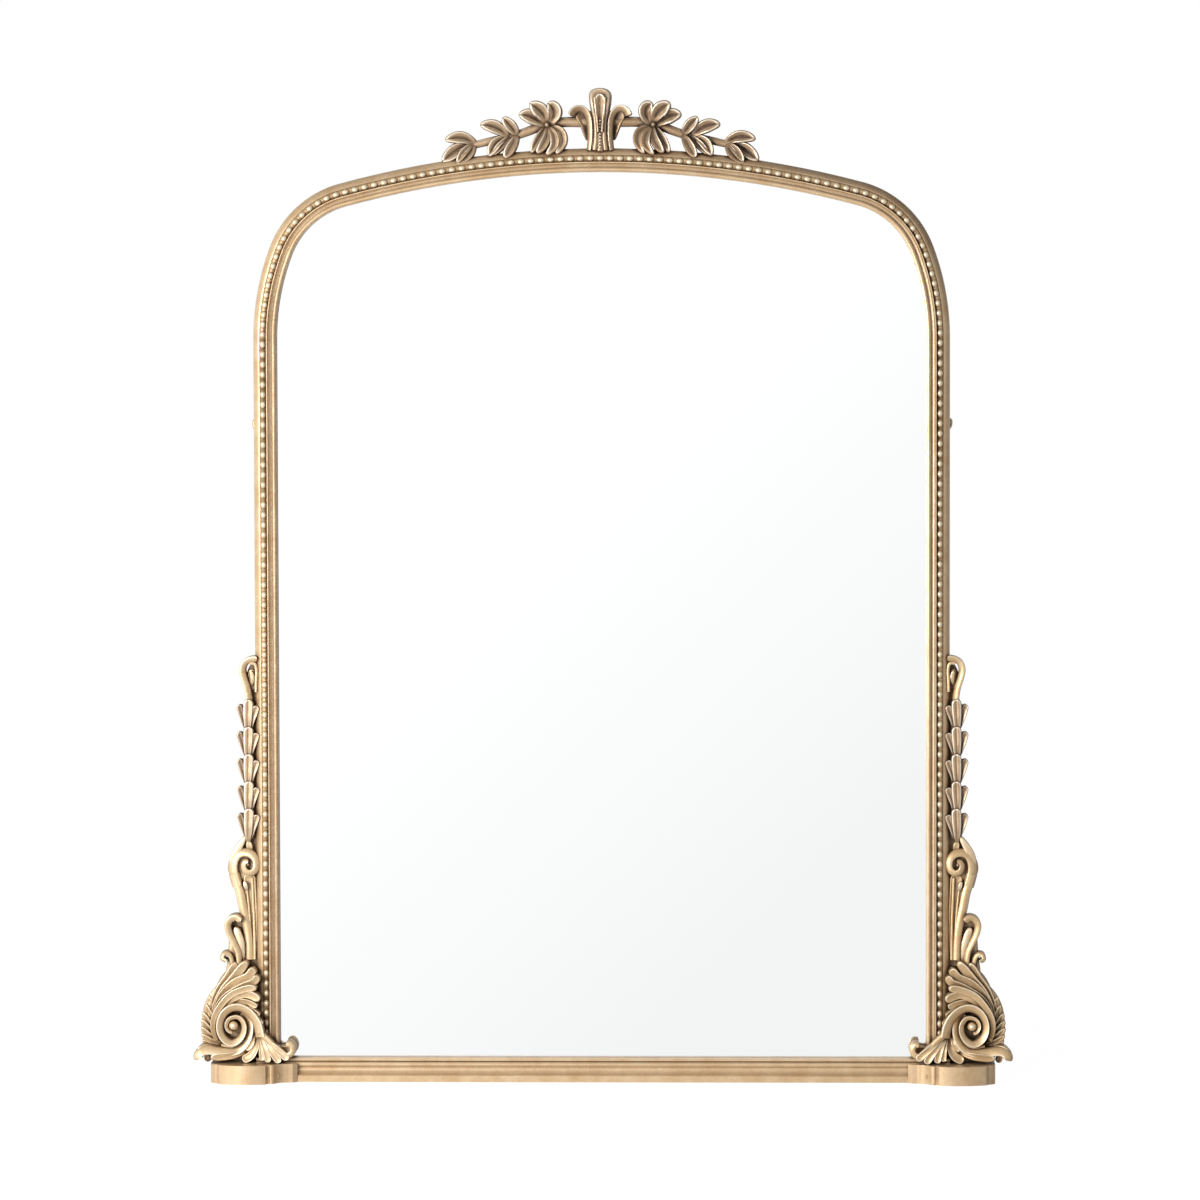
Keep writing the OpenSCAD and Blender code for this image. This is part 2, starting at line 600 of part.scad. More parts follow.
// --- Corner acanthus: combed lobes sweep into a coil, with a hook above and a fan below ---
eye_c = [20.8, 52.8];
module acanthus_hook() {
    scroll([[15, 108], [16.1, 118.4], [18.7, 125.4], [22.2, 132.4], [25.2, 139.4], [26, 146.8],
        [22.8, 152.2], [17.6, 153.2], [14, 150.4]], 2, 2.3, 3, 0.5, 0.62);
    lobe([[14.4, 112], [14.4, 128], [18, 143]], 6.4, 0.5, 0.7);
    scroll([[21.3, 106], [23, 114.5], [26.5, 118.8], [30, 117.6], [30, 113.6], [27.4, 113.4]],
        2, 2, 1.7, 0.45, 0.55);
    lobe([[40, 74], [37, 88], [34.4, 102.5]], 9, 0.5);
}
module acanthus_comb() {
    lobe([[41, 58], [38.6, 72], [32.6, 86.5], [22.8, 98.2], [11, 111.5]], 7, 0.62);
    lobe([[38.4, 62], [33.4, 79.5], [20.4, 95.2], [5.4, 101.6], [2, 109.5]], 6.4, 0.7);
    lobe([[36, 66], [30, 79.5], [19, 91.2], [3.2, 99.2]], 6, 0.72);
    lobe([[39, 50], [36, 68], [27.6, 80], [12, 90.4], [1.4, 93.4], [-2.4, 99]], 6, 0.8);
    lobe([[34.5, 36], [39.6, 50], [37, 63.5], [24, 80.4], [7, 88.4], [-2, 87.6]], 7.4, 0.9);
    lobe([[33.6, 43], [35.4, 55], [29.6, 71.6], [14, 82], [3, 81.6], [-4, 77]], 7.6, 0.82);
    lobe([[28, 68], [17, 75.4], [6, 74.4], [-1.6, 70]], 5.4, 0.76);
    lobe([[9, 70.4], [2, 67], [-3.8, 61.6]], 5, 0.78);
    lobe([[4, 64.4], [-1.4, 59.6], [-6.6, 54]], 5, 0.82);
}
module acanthus_coil() {
    scroll([[-4, 44], [-1.4, 56], [4.6, 65], [13, 70], [21.6, 69.4], [28.6, 64.4], [32.6, 56],
        [32.6, 46.6], [28.4, 39], [21.4, 35.8], [14.6, 39.8], [10.8, 46.8], [10.6, 54], [13.6, 59.4],
        [18.8, 60.8], [23, 57.4]], 2, 3.6, 2, 0.9, 0.78);
    scroll([[12.6, 64], [7, 59], [4.6, 50.4], [6, 42], [10.2, 33.6], [17.2, 28], [25.8, 28.2],
        [35.6, 30.6], [44, 33.2], [51, 32], [54.6, 27], [53.6, 21.6], [49.8, 20.4]],
        2, 2.2, 3.8, 0.6, 0.86);
    button(eye_c, 4.4, 0.96);
    lobe([[12, 25], [24, 24.2], [38.6, 22.6]], 7, 0.6, 0.75);
}
module acanthus_serration() {
    lobe([[40.6, 54], [43.6, 62.4], [45.6, 72]], 7.4, 0.5);
    lobe([[41.4, 46], [45.6, 53.6], [49.4, 62]], 7, 0.48);
    lobe([[37, 39], [44.4, 45], [50, 52.4]], 7, 0.5);
    lobe([[34, 34], [42.4, 38], [49.6, 43.6]], 6.4, 0.48);
}
module acanthus_fan() {
    scroll([[-4, 46], [-12, 40.2], [-20, 34.6], [-27.4, 30.4], [-33.4, 29.8], [-38.6, 32],
        [-40.4, 37.2], [-39.4, 43]], 2, 2.8, 4.6, 0.9, 1);
    lobe([[-22, 33], [-28.6, 35.4], [-35.6, 43]], 14, 0.66, 0.5);
    lobe([[-4, 45], [-14, 36.6], [-23.6, 28.8], [-31, 22]], 6.2, 0.98);
    lobe([[-3, 44], [-10, 34.6], [-16.6, 26.6], [-22, 18.6]], 7.2, 0.94);
    lobe([[-3, 42], [-8, 32], [-11.6, 18.4]], 7, 0.88);
    lobe([[-2, 41], [-4.6, 31], [-5.6, 20.4]], 4.4, 0.84);
    lobe([[-2, 42], [-0.6, 31], [4, 23.4], [11, 19.6]], 8.4, 0.7);
}
module acanthus(side) side_casting(side, acanthus_relief) {
    acanthus_hook();
    acanthus_comb();
    acanthus_coil();
    acanthus_serration();
    acanthus_fan();
    mass([[0.2, 24], [0.2, 104], [10, 110], [14, 126], [20, 140], [22, 128], [20, 108], [33, 92],
        [42, 74], [45, 56], [44, 40], [36, 30], [32, 22], [8, 20.5]], 0.34);
}

// --- Crest: a plume between two leafy sprays, pierced above the arch. Points are [distance
// --- along the outside of the crown, v] ---
function on_crest(p) = on_arc(crown_c, outer_r + p.y, 90 - turn(p.x, outer_r));
function crested(pts) = [for (p = pts) on_crest(p)];
function tall(pts) = [for (p = pts) on_crest([p.x, p.y * plume_h / 55])];

module crest_casting(relief) color(GILT) upright() translate([0, 0, crest_back])
    casting(relief) difference() {
        union() children();
        scale([1, 1, 1 / relief]) {
            translate(crown_c) rotate(90 - crown_a) rotate_extrude(angle = 2 * crown_a, $fn = 240)
                translate([crown_r, 0]) polygon(lap_profile(crest_back, 0.1));
            translate([0, 0, -crest_back]) crest_dowel_set(glue_gap);
        }
    }

module crest_plume() crest_casting(plume_relief) {
    mass(tall([[-9.4, -2], [-9, 28], [-6, 44], [6, 44], [9, 28], [9.4, -2]]), 0.32);
    scroll(tall([[0, -3], [0, 12], [0, 27]]), 2, 3.4, 3, 0.55, 0.6);
    lobe(tall([[0, 17], [0, 36], [0, 55.9]]), 9, 1, 0.72);
    for (side = [-1, 1]) on_side(side) {
        lobe(tall([[2.6, 18], [5, 36], [5.4, 53.4]]), 8.6, 0.9, 0.72);
        lobe(tall([[5, 19], [8, 32], [8.8, 46]]), 7, 0.74, 0.74);
        scroll(tall([[9.6, -2], [9.2, 12], [9.2, 23], [10.6, 31.6], [14.8, 36.8], [20, 37.8], [24.2, 35.6],
            [26, 31.2]]), 2, 2.8, 3.1, 0.5, 0.78);
    }
}

// Each leaf is [its curve, width, height]
spray_leaves = [
    [[[45, 23], [40.6, 32.6], [42, 39.4], [46.6, 44.8]], 11.4, 0.9],
    [[[47.2, 25], [50.6, 34.4], [54.4, 40], [59.4, 46.4]], 11.6, 1],
    [[[49.4, 22.4], [57.2, 28.8], [64, 32.2], [72, 33.4]], 11, 0.86],
    [[[45, 22], [35.8, 16], [34.2, 6], [40.4, -4.6]], 9.6, 0.8],
    [[[46, 21], [41.6, 12.6], [41.8, 3.4], [49.4, -5]], 9.4, 0.9],
    [[[47, 21], [48.2, 11.4], [52.8, 3], [58.4, -2.4]], 8.6, 0.86],
    [[[48.6, 21], [54, 13.4], [59, 5.4], [63.4, -2]], 7.6, 0.76],
    [[[75, 15.4], [80, 24], [86.4, 32.4]], 8.4, 0.8],
    [[[83, 15], [90.4, 22.2], [98, 26.2], [107, 27.8]], 10, 0.74],
    [[[75, 14.6], [81.4, 4.4], [88, -4.8]], 9.2, 0.8],
    [[[80.6, 14.6], [89.8, 7.4], [99.4, -0.6]], 7, 0.66],
    [[[86, 14], [95, 9.2], [102.6, -1.6]], 8.6, 0.72],
    [[[113, 11], [121.4, 17.2], [130, 19.4], [140, 18.6]], 9.2, 0.64],
    [[[114.6, 10.6], [121, 2.4], [132.6, -5]], 8.2, 0.7],
    [[[116.6, 11], [124.6, 5], [132, -3.6]], 6.4, 0.78],
    [[[120.4, 10], [132, 7.4], [145.6, -0.6]], 10.6, 0.6]
];
module crest_spray(side) crest_casting(spray_relief) on_side(side) {
    for (q = spray_leaves) lobe(crested(q[0]), q[1], q[2], 0.56, RIDGE);
    scroll(crested([[12.7, 24.2], [30, 24.2], [48, 23.2], [65, 17.6], [77, 15], [90, 13.4], [106, 11.6],
        [118, 9.6], [136, 3]]), 2, 4.8, 2.6, 0.5, 0.44);
}

// --- Plate and back ---
module mirror_glass() color("#dfe6e8") upright()
    translate([0, 0, glass_front - glass_t]) linear_extrude(glass_t)
        polygon(panel_outline(glass_lap - glass_gap));

block_l = 50;
module setting_blocks() color("#2f2f2f") upright()
    for (side = [-1, 1]) translate([side * sight_w / 4 - block_l / 2, rail_h - glass_lap,
        glass_front - glass_t]) cube([block_l, glass_gap, glass_t]);

module backing_board() color(BACK) upright() difference() {
    translate([0, 0, board_back]) linear_extrude(board_t)
        polygon(panel_outline(board_lap - board_gap));
    pegs(screw_points, screw_r + 0.2, board_back - 1, board_back + board_t + 1);
}

module backing_screws() color("#b9b9b4") upright() {
    pegs(screw_points, screw_r, board_back, board_back + screw_len);
    pegs(screw_points, screw_head_r, board_back - 1.6, board_back);
}

module arch_tongues() color(BACK) upright() tongues(0);
module stile_dowels() color(BACK) upright() stile_dowel_set(0);
module bracket_dowels() color(BACK) upright() bracket_dowel_set(0);
module crest_dowels() color(BACK) upright() crest_dowel_set(0);
module plinth_dowels() color(BACK) upright() plinth_dowel_set(0);
module plinth_screws() color("#b9b9b4") upright() plinth_screw_set(0);

// --- Hangers: a strap rolled round the straight side of a D ring, screwed behind each stile ---
hanger_x = sight_x + board_lap + (mould_w - board_lap) / 2;
hanger_y = floor(spring_y - hanger_drop);
knuckle_r = ring_wire_r + ring_play;
pivot_h = -(knuckle_r + strap_t);
strap_screws = [-20, -32];
hanger_points = [for (y = strap_screws) [hanger_x, hanger_y + y]];

module hanger_pilots() pegs(hanger_points, hanger_screw_r + glue_gap / 2, -1, 11);

module hanger_strap(side) color("#b9b9b4") upright() on_side(side) difference() {
    union() {
        translate([hanger_x - strap_w / 2, hanger_y + strap_w / 2 - strap_l, -strap_t])
            cube([strap_w, strap_l - strap_w / 2, strap_t]);
        translate([hanger_x, hanger_y + strap_w / 2 - strap_l, -strap_t])
            cylinder(d = strap_w, h = strap_t, $fn = 48);
        translate([hanger_x - strap_w / 2, hanger_y, pivot_h]) rotate([0, 90, 0])
            cylinder(r = knuckle_r + strap_t, h = strap_w, $fn = 48);
    }
    translate([hanger_x - strap_w, hanger_y, pivot_h]) rotate([0, 90, 0])
        cylinder(r = knuckle_r, h = 2 * strap_w, $fn = 48);
    pegs(hanger_points, hanger_screw_r + 0.2, -strap_t - 1, 1);
}

module hanger_screws() color("#b9b9b4") upright()
    for (side = [-1, 1]) on_side(side) {
        pegs(hanger_points, hanger_screw_r, -strap_t, 10);
        pegs(hanger_points, 2 * hanger_screw_r, -strap_t - 1.6, -strap_t);
    }

ring_bend = 2;
ring_x = ring_w / 2 + ring_wire_r;
module wire() circle(ring_wire_r, $fn = 32);
module hanger_ring(side) color("#b9b9b4") upright() on_side(side)
    translate([hanger_x, hanger_y, pivot_h]) {
        translate([ring_bend - ring_x, 0, 0]) rotate([0, 90, 0])
            linear_extrude(2 * (ring_x - ring_bend)) wire();
        translate([0, -ring_bend - ring_arm, 0]) rotate(180)
            rotate_extrude(angle = 180, $fn = 96) translate([ring_x, 0]) wire();
        for (end = [-1, 1]) on_side(end) {
            translate([ring_x, -ring_bend, 0]) rotate([90, 0, 0]) linear_extrude(ring_arm) wire();
            translate([ring_x - ring_bend, -ring_bend, 0])
                rotate_extrude(angle = 90, $fn = 96) translate([ring_bend, 0]) wire();
        }
    }

module wall_bumpers() color("#4a4038") upright()
    for (side = [-1, 1]) translate([side * (stile_x + bracket_w / 2), 44, -bumper_t])
        cylinder(r = bumper_r, h = bumper_t, $fn = 48);

crown();
shoulder(-1);  // shoulder_left
shoulder(1);  // shoulder_right
haunch(-1);  // haunch_left
haunch(1);  // haunch_right
stile(-1);  // stile_left
stile(1);  // stile_right
base_rail();
plinth(-1);  // plinth_left
plinth(1);  // plinth_right
bracket(-1);  // bracket_left
bracket(1);  // bracket_right
beading_arch();
beading_straight(-1);  // beading_left
beading_straight(1);  // beading_right
crest_plume();
crest_spray(-1);  // crest_spray_left
crest_spray(1);  // crest_spray_right
crook(-1);  // crook_left
crook(1);  // crook_right
husk_drop(-1);  // husk_drop_left
husk_drop(1);  // husk_drop_right
volute(-1);  // volute_left
volute(1);  // volute_right
acanthus(-1);  // acanthus_left
acanthus(1);  // acanthus_right
mirror_glass();
setting_blocks();
backing_board();
backing_screws();
arch_tongues();
stile_dowels();
bracket_dowels();
crest_dowels();
plinth_dowels();
plinth_screws();
hanger_strap(-1);  // hanger_strap_left
hanger_strap(1);  // hanger_strap_right
hanger_screws();
hanger_ring(-1);  // hanger_ring_left
hanger_ring(1);  // hanger_ring_right
wall_bumpers();
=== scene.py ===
"""Arched overmantel mirror: carved and cast ornament, gilding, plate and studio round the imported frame."""
import json
import math

import bpy
import numpy as np
from mathutils import Matrix, Vector


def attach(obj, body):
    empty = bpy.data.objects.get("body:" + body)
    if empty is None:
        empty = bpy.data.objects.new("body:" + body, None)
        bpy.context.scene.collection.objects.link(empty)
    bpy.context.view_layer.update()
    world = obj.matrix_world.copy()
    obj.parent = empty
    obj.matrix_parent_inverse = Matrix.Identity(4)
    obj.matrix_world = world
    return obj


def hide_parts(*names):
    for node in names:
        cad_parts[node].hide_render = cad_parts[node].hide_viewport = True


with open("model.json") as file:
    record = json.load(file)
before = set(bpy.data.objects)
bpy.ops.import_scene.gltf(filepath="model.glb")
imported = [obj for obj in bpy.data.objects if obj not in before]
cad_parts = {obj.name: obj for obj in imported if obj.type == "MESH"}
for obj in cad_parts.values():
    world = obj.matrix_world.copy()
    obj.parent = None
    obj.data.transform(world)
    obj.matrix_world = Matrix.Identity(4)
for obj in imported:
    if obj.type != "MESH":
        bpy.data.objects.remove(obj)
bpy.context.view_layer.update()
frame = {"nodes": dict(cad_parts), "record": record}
nodes = frame["nodes"]
scene = bpy.context.scene

# --- Sizes of the frame, in mm, as in the CAD drawing: u outward from the opening, s outward
# --- from the outer face of a stile, v above the arch, h out from the wall side ---
BACK = 15.5                          # the frame's wall side
STILE_X = 320.0                      # outer face of a stile
MOULD_W = 22.0                       # width of the moulding
ROUND_W = 6.2                        # its outer quarter round, outside the pearls' channel
CHANNEL_W, CHANNEL_H = 6.4, 21.0     # the channel's width, and its floor's height
SLOPE_FROM, SLOPE_TO = 7.2, 5.6      # u where the painted shade on the inner slope starts, and where it is full
BRACKET_T = 12.0                     # thickness of the side brackets, which carry the castings
CREST_BACK = 6.0                     # h of the back of the crest's castings
RAIL_H = 21.4                        # height of the base rail
SIGHT_X, SIGHT_TOP = 298.0, 837.0    # half the opening's width, and its top
HAUNCH_R, HAUNCH_A = 215.0, 21.0     # the arch's long curve: radius and angle
SHOULDER_R, SHOULDER_A = 73.0, 54.0  # its tight curve
SHOULDER_END = HAUNCH_A + SHOULDER_A
PEARL_R, PEARL_PITCH, STRIP_T = 3.0, 9.1, 0.8
SIDES = ((-1, "left"), (1, "right"))


def cosd(a):
    return np.cos(np.radians(a))


def sind(a):
    return np.sin(np.radians(a))


CROWN_R = (SIGHT_X - HAUNCH_R * (1 - cosd(HAUNCH_A))
           - SHOULDER_R * (cosd(HAUNCH_A) - cosd(SHOULDER_END))) / cosd(SHOULDER_END)
SPRING_Y = (SIGHT_TOP - HAUNCH_R * sind(HAUNCH_A)
            - SHOULDER_R * (sind(SHOULDER_END) - sind(HAUNCH_A)) - CROWN_R * (1 - sind(SHOULDER_END)))
OUTER_R = CROWN_R + MOULD_W
CROWN_Y = SIGHT_TOP - CROWN_R
HAUNCH_AT = np.array([SIGHT_X - HAUNCH_R, SPRING_Y])
SHOULDER_AT = HAUNCH_AT + (HAUNCH_R - SHOULDER_R) * np.array([cosd(HAUNCH_A), sind(HAUNCH_A)])
CHANNEL_OUT = MOULD_W - ROUND_W
PEARL_U = CHANNEL_OUT - CHANNEL_W / 2


# --- Curves and straps ---
def smooth_path(points, t):
    """Catmull-Rom curve through points: on each span the cubic whose end tangents are half the
    chord between the neighbours. t runs 0..1 with the same share for every span."""
    p = np.asarray(points, float)
    n = len(p)
    f = np.asarray(t, float) * (n - 1)
    i = np.minimum(np.floor(f).astype(int), n - 2)
    k = (f - i)[:, None]
    p0, p1, p2, p3 = p[np.maximum(i - 1, 0)], p[i], p[i + 1], p[np.minimum(i + 2, n - 1)]
    return 0.5 * (2 * p1 + (p2 - p0) * k + (2 * p0 - 5 * p1 + 4 * p2 - p3) * k ** 2
                  + (3 * p1 - p0 - 3 * p2 + p3) * k ** 3)


def along_path(points, t):
    """Centre line at t and the unit vector to its left, from the difference of two near points."""
    near = 0.012
    centre = smooth_path(points, t)
    ahead = (smooth_path(points, np.minimum(t + near, 1))
             - smooth_path(points, np.maximum(t - near, 0)))
    ahead /= np.linalg.norm(ahead, axis=1)[:, None] + 1e-12
    return centre, np.stack([-ahead[:, 1], ahead[:, 0]], 1)


def on_crest(points):
    """[distance along the outside of the crown, v] bent round the crown's centre."""
    p = np.asarray(points, float)
    a = np.radians(90) - p[:, 0] / OUTER_R
    r = OUTER_R + p[:, 1]
    return np.stack([r * np.cos(a), CROWN_Y + r * np.sin(a)], 1)


def step(x, a, b):
    """Smooth step from 0 at a to 1 at b: 3x^2 - 2x^3."""
    x = np.clip((x - a) / (b - a), 0, 1)
    return x * x * (3 - 2 * x)


def bump(x, at, wide):
    """Gaussian bump exp(-((x - at) / wide)^2)."""
    return np.exp(-((x - at) / wide) ** 2)


# 19 places across a strap, half way between even and crowded at the edges
ACROSS = np.sin(np.linspace(-1, 1, 19) * math.pi / 2) * 0.5 + np.linspace(-1, 1, 19) * 0.5
NEAR_END = math.pi / 2 * 0.97        # angle at which a rounded end stops, before its rings meet
STAGGER = 0.03                       # mm that each next piece's back stands further forward


class Carving:
    """Collects the straps of one casting; heights are shares of its relief."""

    def __init__(self, relief, crest=False):
        self.relief, self.crest = relief, crest
        self.verts, self.faces, self.glaze_painted_shade_and_highlight = [], [], []
        self.count = 0

    def next_back(self):
        """Height of the next piece's back: staggered, so that no two backs share a plane."""
        return STAGGER * len(self.verts) / self.relief

    def strap(self, points, t, half, top, shade):
        """Closed loft: ring i has 19 points across at q = -1..1, at centre + left * half * q and
        height top(i, q), and two points under its edges on the flat back. Ends are capped."""
        pts = on_crest(points) if self.crest else np.asarray(points, float)
        foot = self.next_back()
        centre, left = along_path(pts, t)
        n, m = len(t), len(ACROSS)
        q = ACROSS[None, :]
        xy = centre[:, None, :] + left[:, None, :] * (half[:, None] * q)[:, :, None]
        ring = np.zeros((n, m + 2, 3))
        ring[:, :m, :2] = xy
        ring[:, :m, 2] = np.maximum(top, foot + 0.02) * self.relief
        ring[:, m, :2], ring[:, m + 1, :2] = xy[:, -1], xy[:, 0]
        ring[:, m:, 2] = foot * self.relief
        k = m + 2
        i, j = np.meshgrid(np.arange(n - 1), np.arange(k), indexing="ij")
        a, b = i * k + j, i * k + (j + 1) % k
        quads = np.stack([a, a + k, b + k, b], -1).reshape(-1, 4)
        last = (n - 1) * k
        ends = np.array([[n * k, (j + 1) % k, j, j] for j in range(k)]
                        + [[n * k + 1, last + j, last + (j + 1) % k, last + (j + 1) % k] for j in range(k)])
        v = np.concatenate([ring.reshape(-1, 3), ring[0].mean(0)[None], ring[-1].mean(0)[None]])
        # shares for the gilding: the top as shaded; side walls and back 0.9, glaze and painted shade
        g = np.zeros((n, k))
        g[:, :m] = shade
        g[:, m:] = 0.9
        self.verts.append(v)
        self.glaze_painted_shade_and_highlight.append(np.concatenate([g.ravel(), [0.8, 0.2]]))
        self.faces.append(quads + self.count)
        self.faces.append(ends + self.count)
        self.count += len(v)

    def leaf(self, points, wide, high, full=0.62, dish=0.3, tilt=0.0, tip=0.0, root=0.35, steps=30,
             dark=0.0, turn=0.0, vein=0.0, rub_and_highlight=0.6, point=0.5, ribs=0.0):
        """A lobe: half width grows as a sine to its fullest at t = full, then closes as a quarter
        ellipse. rho is 0 on the spine and 1 at the edge, tip included. Its top falls below the rim
        at rho = 0.8 by a dish, slopes by tilt to its right edge, turns down by turn at the tip,
        sinks along the spine by vein and rounds over at the edge; these are shares of the half
        width. tip is how much higher its end stands, as a share of its height. rub is how bright
        the rim is, from rubbing and a painted highlight; ribs how dark the lines halfway to the
        rim are, and vein how dark the spine is, both painted shade; dark how dark it all is, as
        painted shade, or below 0 painted light; and point the power of the tip's outline: 0.5 is
        an ellipse, 1 nearly a point."""
        n1 = steps // 2
        t = np.concatenate([np.linspace(0, full, n1, endpoint=False),
                            full + (1 - full) * np.sin(np.linspace(0, NEAR_END, steps - n1))])
        u = np.clip((t - full) / (1 - full), 0, 1)
        grow = root + (1 - root) * np.sin(np.pi / 2 * np.minimum(t / full, 1))
        half = wide / 2 * np.where(u > 0, np.maximum(1 - u ** 2, 0) ** point, grow)
        q = ACROSS[None, :]
        rho = np.sqrt(q ** 2 * (1 - u[:, None] ** 2) + u[:, None] ** 2)
        rise = 0.66 + 0.34 * np.sin(np.pi / 2 * np.minimum(t / 0.6, 1)) + tip * step(t, 0.6, 0.95)
        inside = step(t, 0.02, 0.3)[:, None]
        bowl = (1 - (rho / 0.8) ** 2).clip(0, 1) * inside
        edge = 1 - np.sqrt(np.maximum(1 - ((rho - 0.74).clip(0, 0.255) / 0.26) ** 2, 0))
        r = half[:, None] * 0.7 + wide * 0.15
        top = high * rise[:, None] * self.relief + r * (
            tilt * q - dish * bowl - 0.55 * edge - turn * step(t, 0.55, 1)[:, None]
            - 0.3 * vein * bump(q, 0, 0.13) * inside)
        # painted shade in the dish, on the edge walls, along vein and ribs, on the low side, at the root and
        # on lower pieces; the rim gets rubbing and a painted highlight
        low = np.clip(-q * np.sign(tilt), 0, 1) if tilt else 0
        rim = bump(rho, 0.78, 0.16) * inside * (1 - low)
        lines = (vein * bump(q, 0, 0.15) + ribs * bump(np.abs(q), 0.46, 0.1)) * inside
        shade = (0.42 * bowl * min(1, dish * 4) - rub_and_highlight * rim + 0.9 * step(rho, 0.9, 1)
                 + lines * (1 - step(t, 0.75, 0.95)[:, None]) + 1.1 * low * abs(tilt)
                 + 0.55 * (1 - inside) + (1 - high) * 0.3 + dark)
        self.strap(points, t, half, top / self.relief, shade)

    def band(self, points, w0, w1, h0, h1, tilt=0.0, crown=0.35, end=True, steps=9, dark=0.0,
             rims=(0.6, 0.6)):
        """A strap whose half width goes from w0 to w1 and whose height from h0 to h1. Its top is
        that height less crown * q^2, sloped by tilt towards its right edge; the last stretch closes
        in a half circle, if end is set. crown and tilt are shares of the half width; rims is how
        bright each edge is, from rubbing and a painted highlight, and dark how dark it all is, as
        painted shade."""
        n = steps * (len(points) - 1) + 1
        length = np.linalg.norm(np.diff(np.asarray(points, float), axis=0), axis=1).sum()
        t = np.linspace(0, 1, n)
        half = w0 + (w1 - w0) * t
        if end:
            close = min(0.3, w1 / length)
            t = np.concatenate([t[t < 1 - close],
                                1 - close + close * np.sin(np.linspace(0, NEAR_END, 9))])
            round_off = 1 - ((t - 1 + close) / close).clip(0, 1) ** 2
            half = (w0 + (w1 - w0) * t) * np.sqrt(np.maximum(round_off, 0.002))
        q = ACROSS[None, :]
        r = (w0 + (w1 - w0) * t)[:, None]
        height = (h0 + (h1 - h0) * t)[:, None] * self.relief
        edge = 1 - np.sqrt(np.maximum(1 - ((np.abs(q) - 0.72).clip(0, 0.275) / 0.28) ** 2, 0))
        top = height + r * (tilt * q - crown * q ** 2 - 0.5 * edge)
        # painted shade on the edge walls, on the low side and on lower pieces; the edges get rubbing and
        # painted highlights
        low = np.clip(-q * np.sign(tilt), 0, 1) if tilt else 0 * q
        rim = (rims[0] * bump(q, 0.76, 0.2) + rims[1] * bump(q, -0.76, 0.2)) * (1 - low)
        shade = (0.9 * step(np.abs(q), 0.9, 1) - rim + 1.1 * low * abs(tilt)
                 + (1 - height / self.relief) * 0.3 + dark)
        self.strap(points, t, half, top / self.relief, shade)

    def ball(self, at, r, high, flat=0.5):
        """A boss: rings at polar angle a, radius r sin a, height from high down to high * flat."""
        at = on_crest([at])[0] if self.crest else np.asarray(at, float)
        foot = self.next_back()
        round_n = 20
        a = np.linspace(0.08, math.pi / 2, 7)
        th = np.linspace(0, 2 * math.pi, round_n, endpoint=False)
        rad = np.concatenate([r * np.sin(a), [r]])
        hh = np.concatenate([high * (flat + (1 - flat) * np.cos(a)), [foot]])
        x = at[0] + rad[:, None] * np.cos(th)
        y = at[1] + rad[:, None] * np.sin(th)
        z = np.repeat(hh[:, None] * self.relief, round_n, 1)
        v = np.stack([x, y, z], -1).reshape(-1, 3)
        i, j = np.meshgrid(np.arange(len(rad) - 1), np.arange(round_n), indexing="ij")
        p, s = i * round_n + j, i * round_n + (j + 1) % round_n
        quads = np.stack([p, p + round_n, s + round_n, s], -1).reshape(-1, 4)
        n, last = len(v), len(v) - round_n
        caps = np.array([[n, j, (j + 1) % round_n, (j + 1) % round_n] for j in range(round_n)]
                        + [[n + 1, last + (j + 1) % round_n, last + j, last + j] for j in range(round_n)])
        v = np.concatenate([v, [[*at, high * self.relief]], [[*at, foot * self.relief]]])
        # the top pale from rubbing and a painted highlight, the foot glazed and painted in shade
        rings = np.repeat([-0.6, -0.5, -0.3, 0.0, 0.1, 0.3, 0.7, 0.9], round_n)
        self.verts.append(v)
        self.glaze_painted_shade_and_highlight.append(np.concatenate([rings, [-0.6, 0.9]]))
        self.faces.append(quads + self.count)
        self.faces.append(caps + self.count)
        self.count += len(v)

    def piece(self, name, node, side, origin_x, back):
        """Makes the object: drawing (x, y, h) goes to (x, BACK - back - h, y), mirrored for the
        left."""
        v = np.concatenate(self.verts)
        f = np.concatenate(self.faces)
        world = np.stack([side * (v[:, 0] + origin_x), BACK - back - v[:, 2], v[:, 1]], 1) / 1000
        return casting(name, world, f[:, ::side], node, np.concatenate(self.glaze_painted_shade_and_highlight))


def casting(name, verts, faces, node, glaze_painted_shade_and_highlight):
    """A mesh from arrays, which stands for a node of the frame; a face whose corners repeat is a
    triangle."""
    mesh = bpy.data.meshes.new(name)
    rows = [list(dict.fromkeys(row)) for row in faces.tolist()]
    mesh.from_pydata(verts.tolist(), [], [row for row in rows if len(row) > 2])
    mesh.polygons.foreach_set("use_smooth", [True] * len(mesh.polygons))
    shares = mesh.attributes.new("glaze_painted_shade_and_highlight", "FLOAT", "POINT")
    shares.data.foreach_set("value", glaze_painted_shade_and_highlight.astype(np.float32))
    mesh.update()
    obj = bpy.data.objects.new(name, mesh)
    scene.collection.objects.link(obj)
    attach(obj, "frame")
    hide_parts(node)
    return obj


# --- Materials ---
def tone(code):
    """sRGB hex to linear RGBA."""
    c = [int(code[i:i + 2], 16) / 255 for i in (1, 3, 5)]
    return [x / 12.92 if x <= 0.04045 else ((x + 0.055) / 1.055) ** 2.4 for x in c] + [1.0]


def add(tree, kind, **settings):
    """Adds a node. A setting that names an input by number or name sets its value, or links it when
    the value is another node's output; any other setting is a property of the node."""
    node = tree.nodes.new(kind)
    inputs = settings.pop("inputs", {})
    for key, value in settings.items():
        setattr(node, key, value)
    for key, value in inputs.items():
        if isinstance(value, bpy.types.NodeSocket):
            tree.links.new(value, node.inputs[key])
        else:
            node.inputs[key].default_value = value
    return node


def material(name):
    """A new material without nodes, and its tree."""
    mat = bpy.data.materials.new(name)
    mat.use_nodes = True
    mat.node_tree.nodes.clear()
    return mat, mat.node_tree


